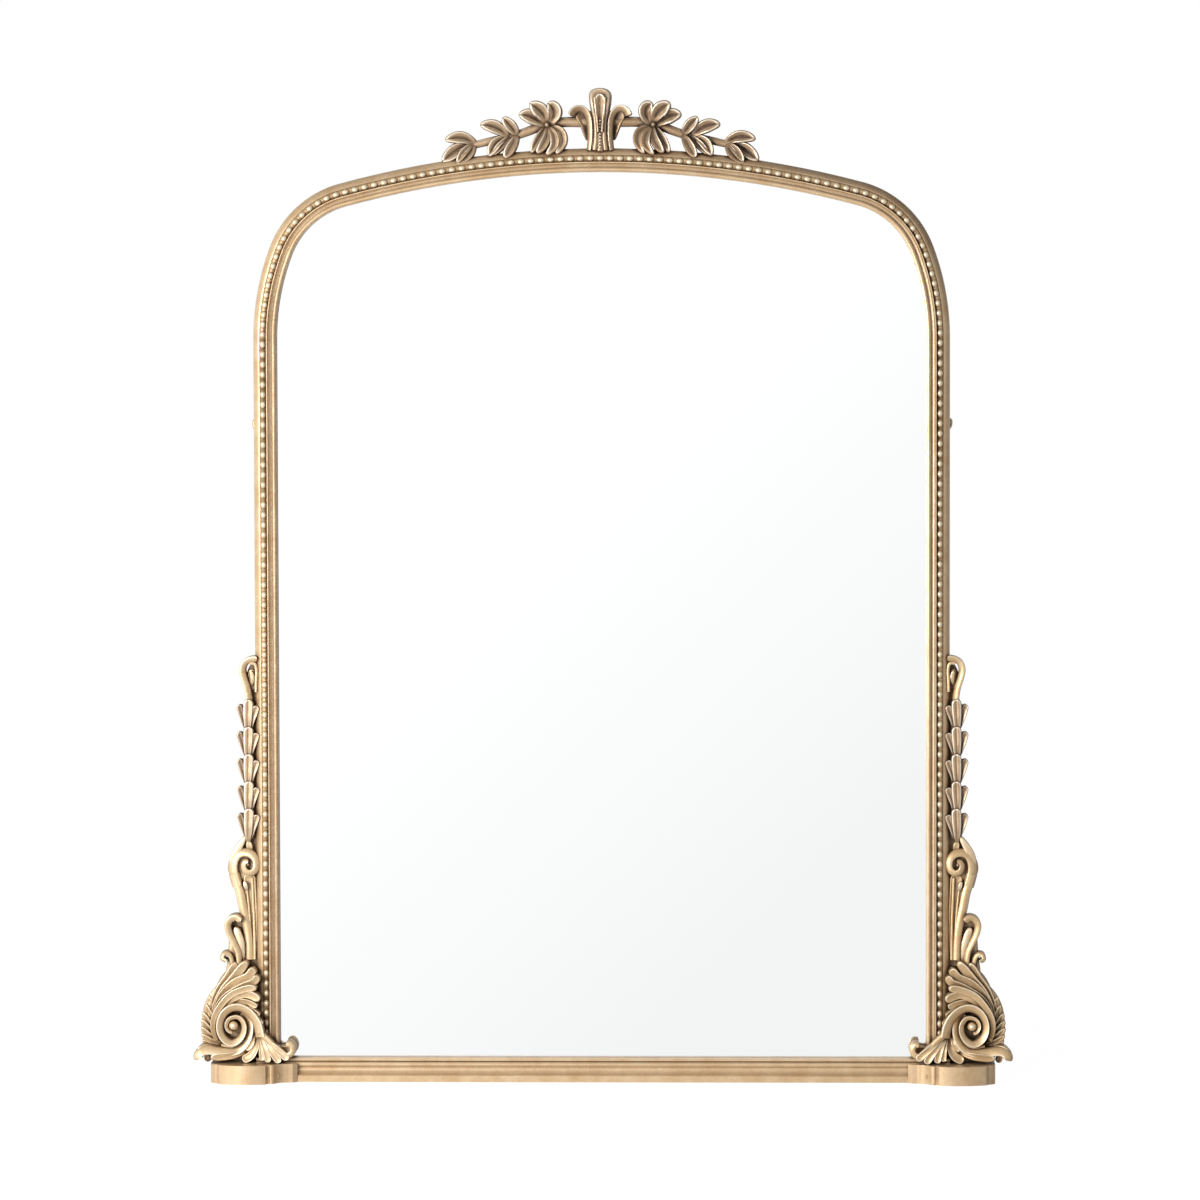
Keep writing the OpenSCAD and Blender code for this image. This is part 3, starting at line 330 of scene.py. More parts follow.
def finish_material(tree, shader):
    add(tree, "ShaderNodeOutputMaterial", inputs={"Surface": shader.outputs[0]})


def place_of(tree):
    """The place on the mirror, in metres: every piece's object sits at the origin."""
    return add(tree, "ShaderNodeTexCoord").outputs["Object"]


def ramped(tree, share, ramps):
    """The share times one 0 to 1 ramp for each (output, from mm, to mm, start value)."""
    for output, lo, hi, start in ramps:
        ramp = add(tree, "ShaderNodeMapRange", inputs={
            "Value": output, "From Min": lo / 1000, "From Max": hi / 1000, "To Min": start})
        share = add(tree, "ShaderNodeMath", operation="MULTIPLY", inputs={
            0: share, 1: ramp.outputs[0]}).outputs[0]
    return share


def add_painted_shade(tree, wash_and_painted_shade, share, ramps):
    """The wash with a ramped share of painted shade added to it."""
    return add(tree, "ShaderNodeMath", operation="ADD", inputs={
        0: wash_and_painted_shade, 1: ramped(tree, share, ramps)}).outputs[0]


def gilding(name, bright, mid, rubbed_and_highlit, glaze_and_shade_tone, strength, opening, rough=0.36, ring=None, left=False):
    """Antiqued champagne leaf over gesso: a pale satin metal skin, rubbed creamy on proud edges,
    with a brown glaze of the given strength wiped off the heights and left lying in every recess;
    the creamy edges are also painted highlights and the glazed recesses painted shade. opening
    is how open to the light a place is where this glaze and shade start and where they are full.
    ring is (centre x, centre height, radius) of an arc of the opening: the outer slope of the
    arch gets painted shade, most of it up at the crown and on the right. left paints such shade
    on the inner slope of the left side."""
    mat, tree = material(name)
    place = place_of(tree)
    # clouds of leaf tone about 18 mm across, and a finer mottle of about 2.5 mm
    clouds = add(tree, "ShaderNodeTexNoise", inputs={
        "Vector": place, "Scale": 55.0, "Detail": 3.0, "Roughness": 0.6})
    mottle = add(tree, "ShaderNodeTexNoise", inputs={
        "Vector": place, "Scale": 400.0, "Detail": 3.0, "Roughness": 0.65})
    cloudy = add(tree, "ShaderNodeMapRange", inputs={
        "Value": clouds.outputs["Fac"], "From Min": 0.28, "From Max": 0.72})
    leaf = add(tree, "ShaderNodeMix", data_type="RGBA", inputs={
        0: cloudy.outputs[0], 6: tone(mid), 7: tone(bright)})
    # the share written on the carved pieces: above 0 a recess, glazed and painted in shade; below 0 an edge,
    # pale from rubbing and a painted highlight
    carved = add(tree, "ShaderNodeAttribute", attribute_name="glaze_painted_shade_and_highlight")
    rub_and_highlight = add(tree, "ShaderNodeMapRange", inputs={
        "Value": carved.outputs["Fac"], "From Min": -0.1, "From Max": -0.95})
    recess_glaze_and_shade = add(tree, "ShaderNodeMapRange", inputs={
        "Value": carved.outputs["Fac"], "From Min": 0.0, "From Max": 1.0})
    worn_and_highlit = add(tree, "ShaderNodeMix", data_type="RGBA", inputs={
        0: rub_and_highlight.outputs[0], 6: leaf.outputs[2], 7: tone(rubbed_and_highlit)})
    # recesses, glazed and painted in shade: how closed in the surface is within 5 mm, except over the floor
    # it stands on
    where = add(tree, "ShaderNodeSeparateXYZ", inputs={0: place})
    near = add(tree, "ShaderNodeAmbientOcclusion", samples=8, inputs={"Distance": 0.005})
    shut = add(tree, "ShaderNodeMapRange", inputs={
        "Value": near.outputs["AO"], "From Min": opening[0], "From Max": opening[1]})
    above = add(tree, "ShaderNodeMapRange", inputs={
        "Value": where.outputs["Z"], "From Min": 0.002, "From Max": 0.007})
    closed = add(tree, "ShaderNodeMath", operation="MULTIPLY", inputs={
        0: shut.outputs[0], 1: above.outputs[0]})
    wash_and_painted_shade = add(tree, "ShaderNodeMath", operation="MULTIPLY_ADD", inputs={
        0: recess_glaze_and_shade.outputs[0], 1: 0.6, 2: closed.outputs[0]}).outputs[0]
    # painted shade on the outer slope of the arch: more of it up at the crown and towards the right
    if ring:
        x, z, r = ring
        flat = add(tree, "ShaderNodeVectorMath", operation="MULTIPLY", inputs={0: place, 1: (1, 0, 1)})
        reach = add(tree, "ShaderNodeVectorMath", operation="DISTANCE", inputs={
            0: flat.outputs[0], 1: (x / 1000, 0, z / 1000)}).outputs["Value"]
        outside = r + CHANNEL_OUT
        wash_and_painted_shade = add_painted_shade(tree, wash_and_painted_shade, 0.65, (
            (reach, outside, outside + 1.5, 0.0), (where.outputs["Z"], SPRING_Y, SPRING_Y + 90, 0.0),
            (where.outputs["X"], -140, 200, 0.1)))
    # painted shade on the inner slope of the left side, fading out above the springing of the arch
    if left:
        slope = ((reach, r + SLOPE_FROM, r + SLOPE_TO, 0.0) if ring
                 else (where.outputs["X"], -SIGHT_X - SLOPE_FROM, -SIGHT_X - SLOPE_TO, 0.0))
        wash_and_painted_shade = add_painted_shade(tree, wash_and_painted_shade, 0.42, (
            slope, (where.outputs["Z"], SPRING_Y + 110, SPRING_Y + 30, 0.0)))
    specks = add(tree, "ShaderNodeMapRange", inputs={
        "Value": mottle.outputs["Fac"], "From Min": 0.3, "From Max": 0.7, "To Min": -0.08, "To Max": 0.10})
    glaze_and_shade_share = add(tree, "ShaderNodeMath", operation="MULTIPLY_ADD", use_clamp=True, inputs={
        0: wash_and_painted_shade, 1: strength, 2: specks.outputs[0]})
    glazed_and_shaded = add(tree, "ShaderNodeMix", data_type="RGBA", inputs={
        0: glaze_and_shade_share.outputs[0], 6: worn_and_highlit.outputs[2], 7: tone(glaze_and_shade_tone)})
    # the wall side is only size and brown paint: gilding stops short of the back face
    rear = add(tree, "ShaderNodeMapRange", inputs={
        "Value": where.outputs["Y"], "From Min": 0.0140, "From Max": 0.0152})
    colour = add(tree, "ShaderNodeMix", data_type="RGBA", inputs={
        0: rear.outputs[0], 6: glazed_and_shaded.outputs[2], 7: tone("#8a6f4e")})
    # glaze, painted shade and paint are matter than leaf, and aren't metal
    gloss = add(tree, "ShaderNodeMath", operation="MULTIPLY_ADD", inputs={
        0: glaze_and_shade_share.outputs[0], 1: 0.28, 2: rough})
    covered = add(tree, "ShaderNodeMath", operation="MAXIMUM", inputs={
        0: glaze_and_shade_share.outputs[0], 1: rear.outputs[0]})
    metal = add(tree, "ShaderNodeMath", operation="MULTIPLY_ADD", use_clamp=True, inputs={
        0: covered.outputs[0], 1: -0.45, 2: 0.45})
    grain = add(tree, "ShaderNodeBump", inputs={
        "Strength": 0.2, "Distance": 0.0003, "Height": mottle.outputs["Fac"]})
    soft = add(tree, "ShaderNodeBump", inputs={
        "Strength": 0.08, "Distance": 0.001, "Height": clouds.outputs["Fac"], "Normal": grain.outputs[0]})
    shader = add(tree, "ShaderNodeBsdfPrincipled", inputs={
        "Base Color": colour.outputs[2], "Roughness": gloss.outputs[0], "Metallic": metal.outputs[0],
        "Normal": soft.outputs[0]})
    finish_material(tree, shader)
    return mat


def plain(name, pale, dark, scale, rough, metal=0.0, stretch=(1, 1, 1), strength=0.2, depth=0.0004):
    """A two-tone grained surface: noise of the given scale, stretched along the grain."""
    mat, tree = material(name)
    laid = add(tree, "ShaderNodeMapping", inputs={"Vector": place_of(tree), "Scale": stretch})
    grain = add(tree, "ShaderNodeTexNoise", inputs={
        "Vector": laid.outputs[0], "Scale": scale, "Detail": 4.0, "Roughness": 0.6})
    share = add(tree, "ShaderNodeMapRange", inputs={
        "Value": grain.outputs["Fac"], "From Min": 0.32, "From Max": 0.68})
    colour = add(tree, "ShaderNodeMix", data_type="RGBA", inputs={
        0: share.outputs[0], 6: tone(dark), 7: tone(pale)})
    lump = add(tree, "ShaderNodeBump", inputs={
        "Strength": strength, "Distance": depth, "Height": grain.outputs["Fac"]})
    shader = add(tree, "ShaderNodeBsdfPrincipled", inputs={
        "Base Color": colour.outputs[2], "Roughness": rough, "Metallic": metal, "Normal": lump.outputs[0]})
    finish_material(tree, shader)
    return mat


def silvered_plate():
    """Float glass silvered on its back: a near perfect mirror with the faint cool cast of glass."""
    mat, tree = material("silvered_plate")
    shader = add(tree, "ShaderNodeBsdfPrincipled", inputs={
        "Base Color": tone("#fbfcfc"), "Metallic": 1.0, "Roughness": 0.015})
    finish_material(tree, shader)
    return mat


# The frame's wood: water gilding over gesso, well rubbed, with some glaze left in the hollows, which also
# stands for their painted shade.
WOOD = ("#dfc6a4", "#cbab83", "#f4e8d2", "#553a24", 0.8, (0.93, 0.40), 0.30)
gilt_frame = gilding("antiqued_champagne_gilding", *WOOD)
# copies for the arch and the left stile, with painted shade on their slopes
gilt_arch = {"crown": gilding("antiqued_champagne_gilding_crown", *WOOD, ring=(0.0, CROWN_Y, CROWN_R)),
             "stile_left": gilding("antiqued_champagne_gilding_stile_left", *WOOD, left=True)}
for word, at, radius in (("shoulder_", SHOULDER_AT, SHOULDER_R), ("haunch_", HAUNCH_AT, HAUNCH_R)):
    for side, hand in SIDES:
        gilt_arch[word + hand] = gilding("antiqued_champagne_gilding_" + word + hand, *WOOD,
                                         ring=(side * at[0], at[1], radius), left=side < 0)
# The castings: gilded resin. The crest and the husks are left browner: the glaze was brushed on
# thick and only the edges wiped. The left side takes paler copies of both: painted light.
gilt_castings = gilding("antiqued_gilt_castings",
                        "#e2c8a0", "#d0b084", "#f8eed9", "#62472e", 0.88, (0.82, 0.22))
gilt_castings_painted_lit = gilding("antiqued_gilt_castings_painted_lit",
                              "#ecd5b0", "#dcc098", "#fbf2e0", "#705438", 0.8, (0.80, 0.22))
gilt_crest = gilding("heavily_glazed_gilt_crest",
                     "#bea384", "#a5896a", "#fcf5e8", "#45342a", 1.0, (0.88, 0.28))
gilt_crest_painted_lit = gilding("glazed_gilt_crest_painted_lit",
                           "#d0b798", "#bba082", "#fdf7ec", "#503c2e", 0.95, (0.86, 0.26))
# the left side, -1, takes the paler copies, which are painted light
CARVED_FINISH = {("brown", -1): gilt_crest_painted_lit, ("brown", 1): gilt_crest,
                 ("gilt", -1): gilt_castings_painted_lit, ("gilt", 1): gilt_castings}
plate = silvered_plate()
# tempered hardboard: brown pressed fibre, dull, with flecks a millimetre or two long
hardboard = plain("pressed_hardboard", "#8d6c4a", "#6f5136", 900.0, 0.75, stretch=(1, 1, 0.35), strength=0.3)
# planed beech inside the joints: straight grain about 1 mm apart
bare_wood = plain("planed_beech", "#cfae80", "#b48f60", 700.0, 0.6, stretch=(0.08, 1, 1))
# zinc-plated pressed steel: cool grey satin metal
zinc = plain("zinc_plated_steel", "#c9c9c4", "#a9aaa6", 1200.0, 0.32, metal=1.0, strength=0.06, depth=0.0001)
# the D rings and their straps are the same steel, brass plated and lacquered to suit the gilding
brassed = plain("brass_plated_hanger_steel", "#c9ae7c", "#ab9060", 1200.0, 0.35, metal=0.8,
                strength=0.06, depth=0.0001)
# moulded rubber: black and dull
rubber = plain("black_setting_rubber", "#2e2e2e", "#222222", 1500.0, 0.8)
# wool felt: matt brown fibres about half a millimetre apart
felt = plain("brown_wool_felt", "#66503c", "#453526", 2400.0, 0.95, strength=0.6, depth=0.0006)

FINISHES = {"gilt_wood": gilt_frame, "gilt_casting": gilt_castings, "silvered_glass": plate,
            "backing_board": hardboard, "bare_wood": bare_wood, "steel": zinc, "black_rubber": rubber,
            "brown_felt": felt}


def dress(obj, mat):
    """Gives a piece one finish all over."""
    obj.data.materials.clear()
    obj.data.materials.append(mat)


for part in frame["record"]["subparts"]:
    hanger = part["node"].startswith(("hanger_ring", "hanger_strap"))
    dress(nodes[part["node"]],
          brassed if hanger else gilt_arch.get(part["node"], FINISHES[part["material_slot"]]))


# --- Pearls: half balls in the moulding's channel, on their strip ---
def arch_length(d):
    """Half the arch's length when it is offset outward by d: angle times radius, summed over its
    three arcs. Also the lengths of the first arc and the second."""
    crown = np.radians(90 - SHOULDER_END) * (CROWN_R + d)
    shoulder = np.radians(SHOULDER_A) * (SHOULDER_R + d)
    return crown + shoulder + np.radians(HAUNCH_A) * (HAUNCH_R + d), crown, shoulder


def arch_at(along, d):
    """Point and outward angle at a distance along the arch from its top, offset outward by d: first
    the crown's arc, then the shoulder's, then the haunch's."""
    far = np.abs(along)
    _, crown, shoulder = arch_length(d)
    zones = [far < crown, far < crown + shoulder]
    a = np.select(zones, [np.pi / 2 - far / (CROWN_R + d),
                          np.radians(SHOULDER_END) - (far - crown) / (SHOULDER_R + d)],
                  np.radians(HAUNCH_A) - (far - crown - shoulder) / (HAUNCH_R + d))
    r = np.select(zones, [CROWN_R + d, SHOULDER_R + d], HAUNCH_R + d)
    cx = np.select(zones, [0, SHOULDER_AT[0]], HAUNCH_AT[0])
    cy = np.select(zones, [CROWN_Y, SHOULDER_AT[1]], HAUNCH_AT[1])
    x, y = cx + r * np.cos(a), cy + r * np.sin(a)
    return np.where(along < 0, -x, x), y, np.where(along < 0, np.pi - a, a)


def pearls(name, node, xs, ys, facing, left, right):
    """Oval half beads of 4 rings by 10: the ring at polar angle a has radius R sin a, stretched
    along the run, and height R cos a above the strip. facing is each bead's outward angle. The
    strip is a rectangle swept between two rows of points, left and right of its run."""
    m = 10
    a = np.radians([24, 48, 70, 90])
    th = np.linspace(0, 2 * math.pi, m, endpoint=False)
    ring = np.stack([np.outer(np.sin(a), np.cos(th)), 1.25 * np.outer(np.sin(a), np.sin(th)),
                     np.repeat(np.cos(a)[:, None], m, 1)], -1).reshape(-1, 3) * PEARL_R
    foot = ring[-m:] * [1, 1, 0] - [0, 0, STRIP_T / 2]
    one = np.concatenate([[[0, 0, PEARL_R]], ring, foot, [[0, 0, -STRIP_T / 2]]])
    under, last = len(one) - 1, len(one) - 1 - m
    f = [[0, 1 + j, 1 + (j + 1) % m, 1 + (j + 1) % m] for j in range(m)]
    f += [[1 + i * m + j, 1 + (i + 1) * m + j, 1 + (i + 1) * m + (j + 1) % m, 1 + i * m + (j + 1) % m]
          for i in range(len(a)) for j in range(m)]
    f += [[under, last + (j + 1) % m, last + j, last + j] for j in range(m)]
    c, k = np.cos(facing)[:, None], np.sin(facing)[:, None]
    height = one[None, :, 2] + CHANNEL_H + STRIP_T / 2
    beads = np.stack([xs[:, None] + c * one[None, :, 0] - k * one[None, :, 1],
                      ys[:, None] + k * one[None, :, 0] + c * one[None, :, 1],
                      np.broadcast_to(height, (len(xs), len(one)))], -1).reshape(-1, 3)
    faces = (np.array(f)[None] + (np.arange(len(xs)) * len(one))[:, None, None]).reshape(-1, 4)
    # each bead's top pale from rubbing and a painted highlight, its foot glazed and painted in shade
    rubbed_and_highlit = np.concatenate([[-0.6], np.repeat([-0.6, -0.45, -0.1, 0.2, 0.4], m), [0.5]])

    n = len(left)
    low, high = np.full(n, CHANNEL_H), np.full(n, CHANNEL_H + STRIP_T)
    strip = np.stack([np.column_stack([left, low]), np.column_stack([right, low]),
                      np.column_stack([right, high]), np.column_stack([left, high])], 1).reshape(-1, 3)
    i, j = np.meshgrid(np.arange(n - 1), np.arange(4), indexing="ij")
    p, s = i * 4 + j, i * 4 + (j + 1) % 4
    walls = np.stack([p, p + 4, s + 4, s], -1).reshape(-1, 4)
    caps = np.array([[0, 1, 2, 3], [4 * n - 1, 4 * n - 2, 4 * n - 3, 4 * n - 4]])

    v = np.concatenate([beads, strip])
    world = np.stack([v[:, 0], BACK - v[:, 2], v[:, 1]], 1) / 1000
    # the strip, at 0.35, glazed and painted in shade
    dress(casting(name, world, np.concatenate([faces, np.concatenate([walls, caps]) + len(beads)]), node,
                  np.concatenate([np.tile(rubbed_and_highlit, len(xs)), np.full(4 * n, 0.35)])), gilt_castings)


STRIP_EDGE = PEARL_R + 0.1           # half the strip's width
run = SPRING_Y - RAIL_H
count = int(run // PEARL_PITCH)
rows = SPRING_Y - (np.arange(count) + 0.5) * run / count
for side, hand in SIDES:
    line = np.array([RAIL_H, SPRING_Y])[::side]
    inner, outer = [np.column_stack([np.full(2, side * (SIGHT_X + PEARL_U + k * STRIP_EDGE)), line])
                    for k in (-1, 1)]
    pearls("pearls_" + hand, "beading_" + hand, np.full(count, side * (SIGHT_X + PEARL_U)), rows,
           np.zeros(count), inner, outer)

half = arch_length(PEARL_U)[0]
count = int(round(2 * half / PEARL_PITCH))
share = np.linspace(-1, 1, 241)
inner, outer = [np.column_stack(arch_at(share * arch_length(d)[0], d)[:2])
                for d in (PEARL_U - STRIP_EDGE, PEARL_U + STRIP_EDGE)]
pearls("pearls_arch", "beading_arch",
       *arch_at(-half + (np.arange(count) + 0.5) * 2 * half / count, PEARL_U), outer, inner)


# --- Side ornament, drawn for the right side. Points are [s, y], sizes mm ---
def carve_crook():
    """A strap that rises, hooks over the bracket's top and lies against the stile."""
    c = Carving(12)
    c.band([[5.2, 352], [6.2, 360], [7.6, 366], [10, 373.5], [11.2, 380.8], [9, 387], [3.5, 390.2],
            [-2.6, 390.8]], 3.2, 3.0, 0.72, 1.0, tilt=-0.4, crown=0.4, rims=(0.3, 0.7))
    # the hollow inside the hook, painted dark as shade
    c.leaf([[2.2, 362], [1.6, 370], [3.6, 381]], 8.5, 0.42, dish=0.25, dark=0.35)
    c.leaf([[2.8, 366.5], [2.0, 373], [3.2, 379.5]], 4.2, 0.72, full=0.5, dish=-0.15, tip=0.1)
    c.band([[-1.2, 360], [-1.4, 370], [-1.8, 380], [-0.2, 386], [4.6, 386.4]], 1.3, 1.6, 0.8, 0.9, crown=0.5)
    return c


def carve_husks():
    """Five husks, one out of the other: two side leaves and a middle one, all hollowed."""
    c = Carving(12)
    for i in range(5):
        y = 224 + i * 25.2
        c.leaf(np.array([[8.6, 1], [11.0, 11], [14.3, 23.5]]) + [0, y], 7.0, 0.74, full=0.84, dish=0.1,
               tilt=-0.2, tip=0.1, vein=0.5, rub_and_highlight=0.8)
        c.leaf(np.array([[12.2, 17], [13.4, 20.5], [14.6, 23.8]]) + [0, y], 4.4, 0.86, full=0.45,
               dish=0.6, dark=0.2)
        c.leaf(np.array([[4.6, 0], [2.0, 11], [-2.0, 22.5]]) + [0, y], 6.8, 0.84, full=0.84, dish=0.1,
               tip=0.08, root=0.3, vein=0.5, rub_and_highlight=0.8)
        c.leaf(np.array([[6.9, -3], [6.4, 11], [5.7, 28.6]]) + [0, y], 9.6, 0.98, full=0.82, dish=0.02,
               tip=0.04, root=0.34, vein=0.5, rub_and_highlight=0.8)
        # the ground at each husk's foot, painted dark as shade
        c.leaf(np.array([[4.6, -2], [4.2, 6], [4.0, 15]]) + [0, y], 8.0, 0.42, dish=0.3, dark=0.4)
    return c


def carve_volute():
    """A reeded stem that coils inward at its top, with the leaf it springs from."""
    c = Carving(13)
    # the long stem: a broad shaded hollow with a round band on its outer side and fine reeds
    c.leaf([[4.2, 112], [4.4, 150], [6.4, 192]], 12.5, 0.42, full=0.9, dish=0.16, root=0.8, steps=40,
           dark=0.05, rub_and_highlight=0.2)
    c.band([[6.8, 112], [7.2, 126], [8.2, 140], [10.4, 152], [12.8, 163], [14.6, 173], [17.4, 183],
            [19.6, 192]], 4.2, 4.6, 0.58, 0.68, crown=0.4, end=False, rims=(0.2, 0.5))
    c.band([[1.8, 112], [1.8, 130], [2.2, 150], [3.0, 170], [3.6, 188]], 1.4, 1.2, 0.5, 0.54, crown=0.5,
           rims=(0.3, 0.3))
    c.band([[5.0, 112], [5.2, 130], [6.0, 150], [7.6, 168], [9.4, 184]], 1.1, 1.0, 0.55, 0.5, crown=0.5,
           rims=(0.2, 0.2))
    # a small bud, painted pale as a highlight
    c.leaf([[8.6, 176], [9.4, 180.4], [10.6, 185]], 3.8, 0.76, full=0.5, dish=-0.1, dark=-0.4)
    # the eye's bed, painted dark as shade, then the band that coils in and rises
    c.leaf([[20, 188], [12, 200], [3, 207]], 27, 0.40, full=0.5, dish=0.05, root=0.5, dark=0.35)
    c.band([[17.4, 180], [20.6, 191.5], [20.8, 201], [17.6, 208.4], [12.2, 211.4], [5.6, 210.8],
            [0.8, 206.6], [-0.8, 200.6], [0.8, 195.2], [5.0, 192.8], [9.4, 194.6], [11.2, 199.4],
            [9.6, 203.2], [6.6, 203.4]], 5.0, 2.1, 0.62, 0.98, tilt=0.3, crown=0.3, rims=(0.4, 0.2))
    c.ball([7.4, 200.2], 1.8, 0.80)
    c.leaf([[22.0, 194], [20.6, 206], [15.8, 216], [9.4, 226.5]], 7.6, 0.68, full=0.45, dish=-0.1, root=0.6,
           dark=-0.2)
    c.leaf([[5.0, 212], [6.0, 217], [6.8, 222]], 6.0, 0.56, full=0.5, dish=0.1, dark=0.1)
    return c


def carve_acanthus():
    """The coiled acanthus of the foot, from its ground up to the fan over the plinth."""
    c = Carving(27)
    # ground under the lobes, painted dark as the shade between them
    c.leaf([[20, 24], [22, 60], [16, 104]], 46, 0.34, full=0.42, dish=0.0, root=0.9, dark=0.6)
    c.leaf([[22, 92], [18, 120], [20, 142]], 17, 0.26, full=0.4, dish=0.0, root=0.9, dark=0.4)
    # hook: a strap that curls over, a pale inner lobe, painted light, and its pocket
    c.band([[15, 106], [16.1, 118.4], [18.7, 125.4], [22.2, 132.4], [25.0, 139.4], [25.6, 146.0],
            [22.4, 150.9], [17.6, 151.9], [13.8, 148.6]], 2.6, 3.3, 0.52, 0.66, tilt=-0.3, rims=(0.9, 0.2))
    c.leaf([[12.6, 108], [14.0, 126], [19.2, 142.5]], 7.6, 0.42, full=0.72, dish=-0.14, dark=-0.3)
    c.band([[20.4, 104], [22.6, 113.5], [26.0, 118.2], [30, 117.8], [31.0, 113.6], [27.6, 111.6]],
           2.3, 2.0, 0.45, 0.58, tilt=-0.3, crown=0.4)
    # plain outer leaf that follows the hollow outline up
    c.band([[46.4, 58], [44.6, 69], [40.4, 78.6], [34.0, 87.4], [27.6, 98]], 4.4, 2.2, 0.44, 0.5, tilt=0.25,
           crown=0.05, rims=(0.1, 0.7), dark=0.1)
    # combed lobes sweeping up and to the left
    for points, wide, high in (
            ([[41, 54], [40.0, 70], [33.6, 85], [25.6, 96.2], [17.5, 110]], 8.8, 0.56),
            ([[40, 56], [37.2, 70], [30.4, 83.6], [20.4, 95.4], [7.4, 111.5]], 9.0, 0.65),
            ([[38.6, 60], [33.0, 78.0], [20.2, 91.4], [7.0, 97.4], [1.0, 105.5]], 8.6, 0.72),
            ([[39, 48], [36.2, 67], [27.6, 79.2], [12, 88.6], [1.2, 93.0], [-2.2, 99.0]], 7.4, 0.80),
            ([[36.5, 38], [39.4, 50], [36.4, 63.5], [24, 79.6], [9, 86.6], [-1.4, 87.6]], 7.2, 0.90),
            ([[33.6, 43], [35.4, 55], [29.6, 70.6], [14, 80.6], [4, 80.6], [-4, 76.0]], 8.4, 0.84),
            ([[29, 66], [18, 74.6], [7, 73.8], [-1.6, 69.6]], 5.8, 0.79),
            ([[12, 70.8], [4, 67.2], [-3.6, 61.4]], 5.2, 0.81),
            ([[5, 64.4], [-0.8, 59.2], [-6.4, 53.6]], 5.0, 0.84)):
        c.leaf(points, wide, high, full=0.86, dish=0.16, tip=0.05, root=0.5, steps=44, tilt=-0.32, rub_and_highlight=0.9)
    # the coil and the arm that runs round below it to the corner curl
    c.band([[-4.4, 42], [-1.8, 54], [4.6, 63.6], [13, 69.0], [21.6, 68.8], [28.4, 64.0], [32.2, 56],
            [32.2, 46.8], [28.2, 39.4], [21.4, 36.2], [14.6, 40.0], [10.8, 46.8], [10.8, 54], [14.2, 59.2],
            [19.0, 60.4], [24.2, 58.2], [26.6, 53.2], [25.2, 48.4], [21.2, 46.2]], 4.6, 1.3, 0.88, 0.9,
           tilt=0.62, crown=0.1, steps=8, rims=(1.0, 0.0))
    c.band([[12.6, 65], [7.6, 60], [5.0, 51.4], [6.2, 42], [10.6, 33.6], [17.6, 28.4], [26.2, 27.8],
            [35.6, 28.4], [43.4, 29.6], [49.6, 28.4], [53.0, 24.6], [52.2, 21.4]],
           2.8, 4.8, 0.66, 0.92, tilt=-0.4, crown=0.2, steps=8, rims=(0.3, 1.0))
    # a hollow in the corner, painted dark as shade
    c.leaf([[43, 18.6], [45.4, 21], [45.6, 25.0]], 5.6, 0.6, full=0.5, dish=0.5, dark=0.8)
    c.band([[14.6, 62], [10.6, 56], [9.0, 49], [10.6, 41], [15.6, 35], [23.0, 32.4], [32.0, 34.0]],
           1.5, 1.4, 0.62, 0.7, crown=0.4, steps=8, rims=(0.5, 0.5))
    c.ball([20.2, 52.6], 4.3, 0.98, flat=0.82)
    c.leaf([[8, 28.4], [22, 24.6], [41.6, 22.6]], 8.0, 0.84, full=0.75, dish=0.14, tilt=0.3, rub_and_highlight=0.9)
    c.leaf([[40, 33], [49, 30.4], [54.6, 24.4]], 7.4, 0.78, full=0.6, dish=0.2)
    # serrated outer edge: pointed leaves, each folded along its rib
    for points, wide, high in (([[38.6, 56], [42.6, 68.4], [43.6, 79]], 6.6, 0.48),
                               ([[38.6, 50], [43.8, 61.4], [46.6, 71.6]], 7.0, 0.50),
                               ([[38.0, 45], [45.0, 54.4], [49.4, 64.0]], 7.2, 0.52),
                               ([[37, 41], [45.0, 48.6], [50.6, 57.0]], 7.2, 0.54),
                               ([[35, 37], [44.4, 42.6], [51.0, 50.4]], 7.0, 0.55),
                               ([[32, 34], [43.0, 37.4], [50.6, 43.6]], 6.6, 0.55),
                               ([[34, 31.6], [43.4, 33.6], [50.0, 38.0]], 5.4, 0.52)):
        c.leaf(points, wide, high, full=0.5, dish=0.2, root=0.6, tip=0.04, tilt=0.35, vein=0.6, point=0.8,
               rub_and_highlight=0.9)
    # fan that drips over the plinth, its hollow painted dark as shade, and the bulb that curls up in front
    # of the plate
    c.leaf([[-19, 31], [-26.4, 29.6], [-31.0, 33]], 8, 0.76, full=0.5, dish=0.5, root=0.5, dark=0.7)
    c.band([[-4, 46], [-12, 38.6], [-18.6, 31.0], [-24.0, 26.6], [-29.2, 25.0], [-33.4, 27.2], [-34.6, 31.8],
            [-32.2, 35.8], [-28.6, 35.4]], 3.0, 2.8, 0.9, 0.96, tilt=-0.2, crown=0.4, rims=(0.9, 0.3))
    for points, wide, high in (([[-3.6, 45], [-13, 36.6], [-22.6, 28.6], [-30.6, 21.6]], 7.2, 0.96),
                               ([[-3.2, 45], [-10.6, 34.6], [-17.2, 26.2], [-22.6, 18.4]], 7.4, 0.94),
                               ([[-3, 44], [-8.6, 32], [-12.2, 18.6]], 6.6, 0.90),
                               ([[-2.4, 43], [-5.2, 31], [-6.0, 20.0]], 5.2, 0.86)):
        c.leaf(points, wide, high, full=0.84, dish=0.3, rub_and_highlight=1.0, dark=-0.1)
    c.leaf([[-1.6, 46], [-0.4, 34], [4.6, 24.6], [12.6, 20.4]], 8.6, 0.74, full=0.84, dish=0.25, tilt=-0.3,
           rub_and_highlight=0.9)
    c.leaf([[1.2, 46], [3.4, 36], [8.6, 29]], 4.6, 0.74, full=0.7, dish=0.2)
    return c


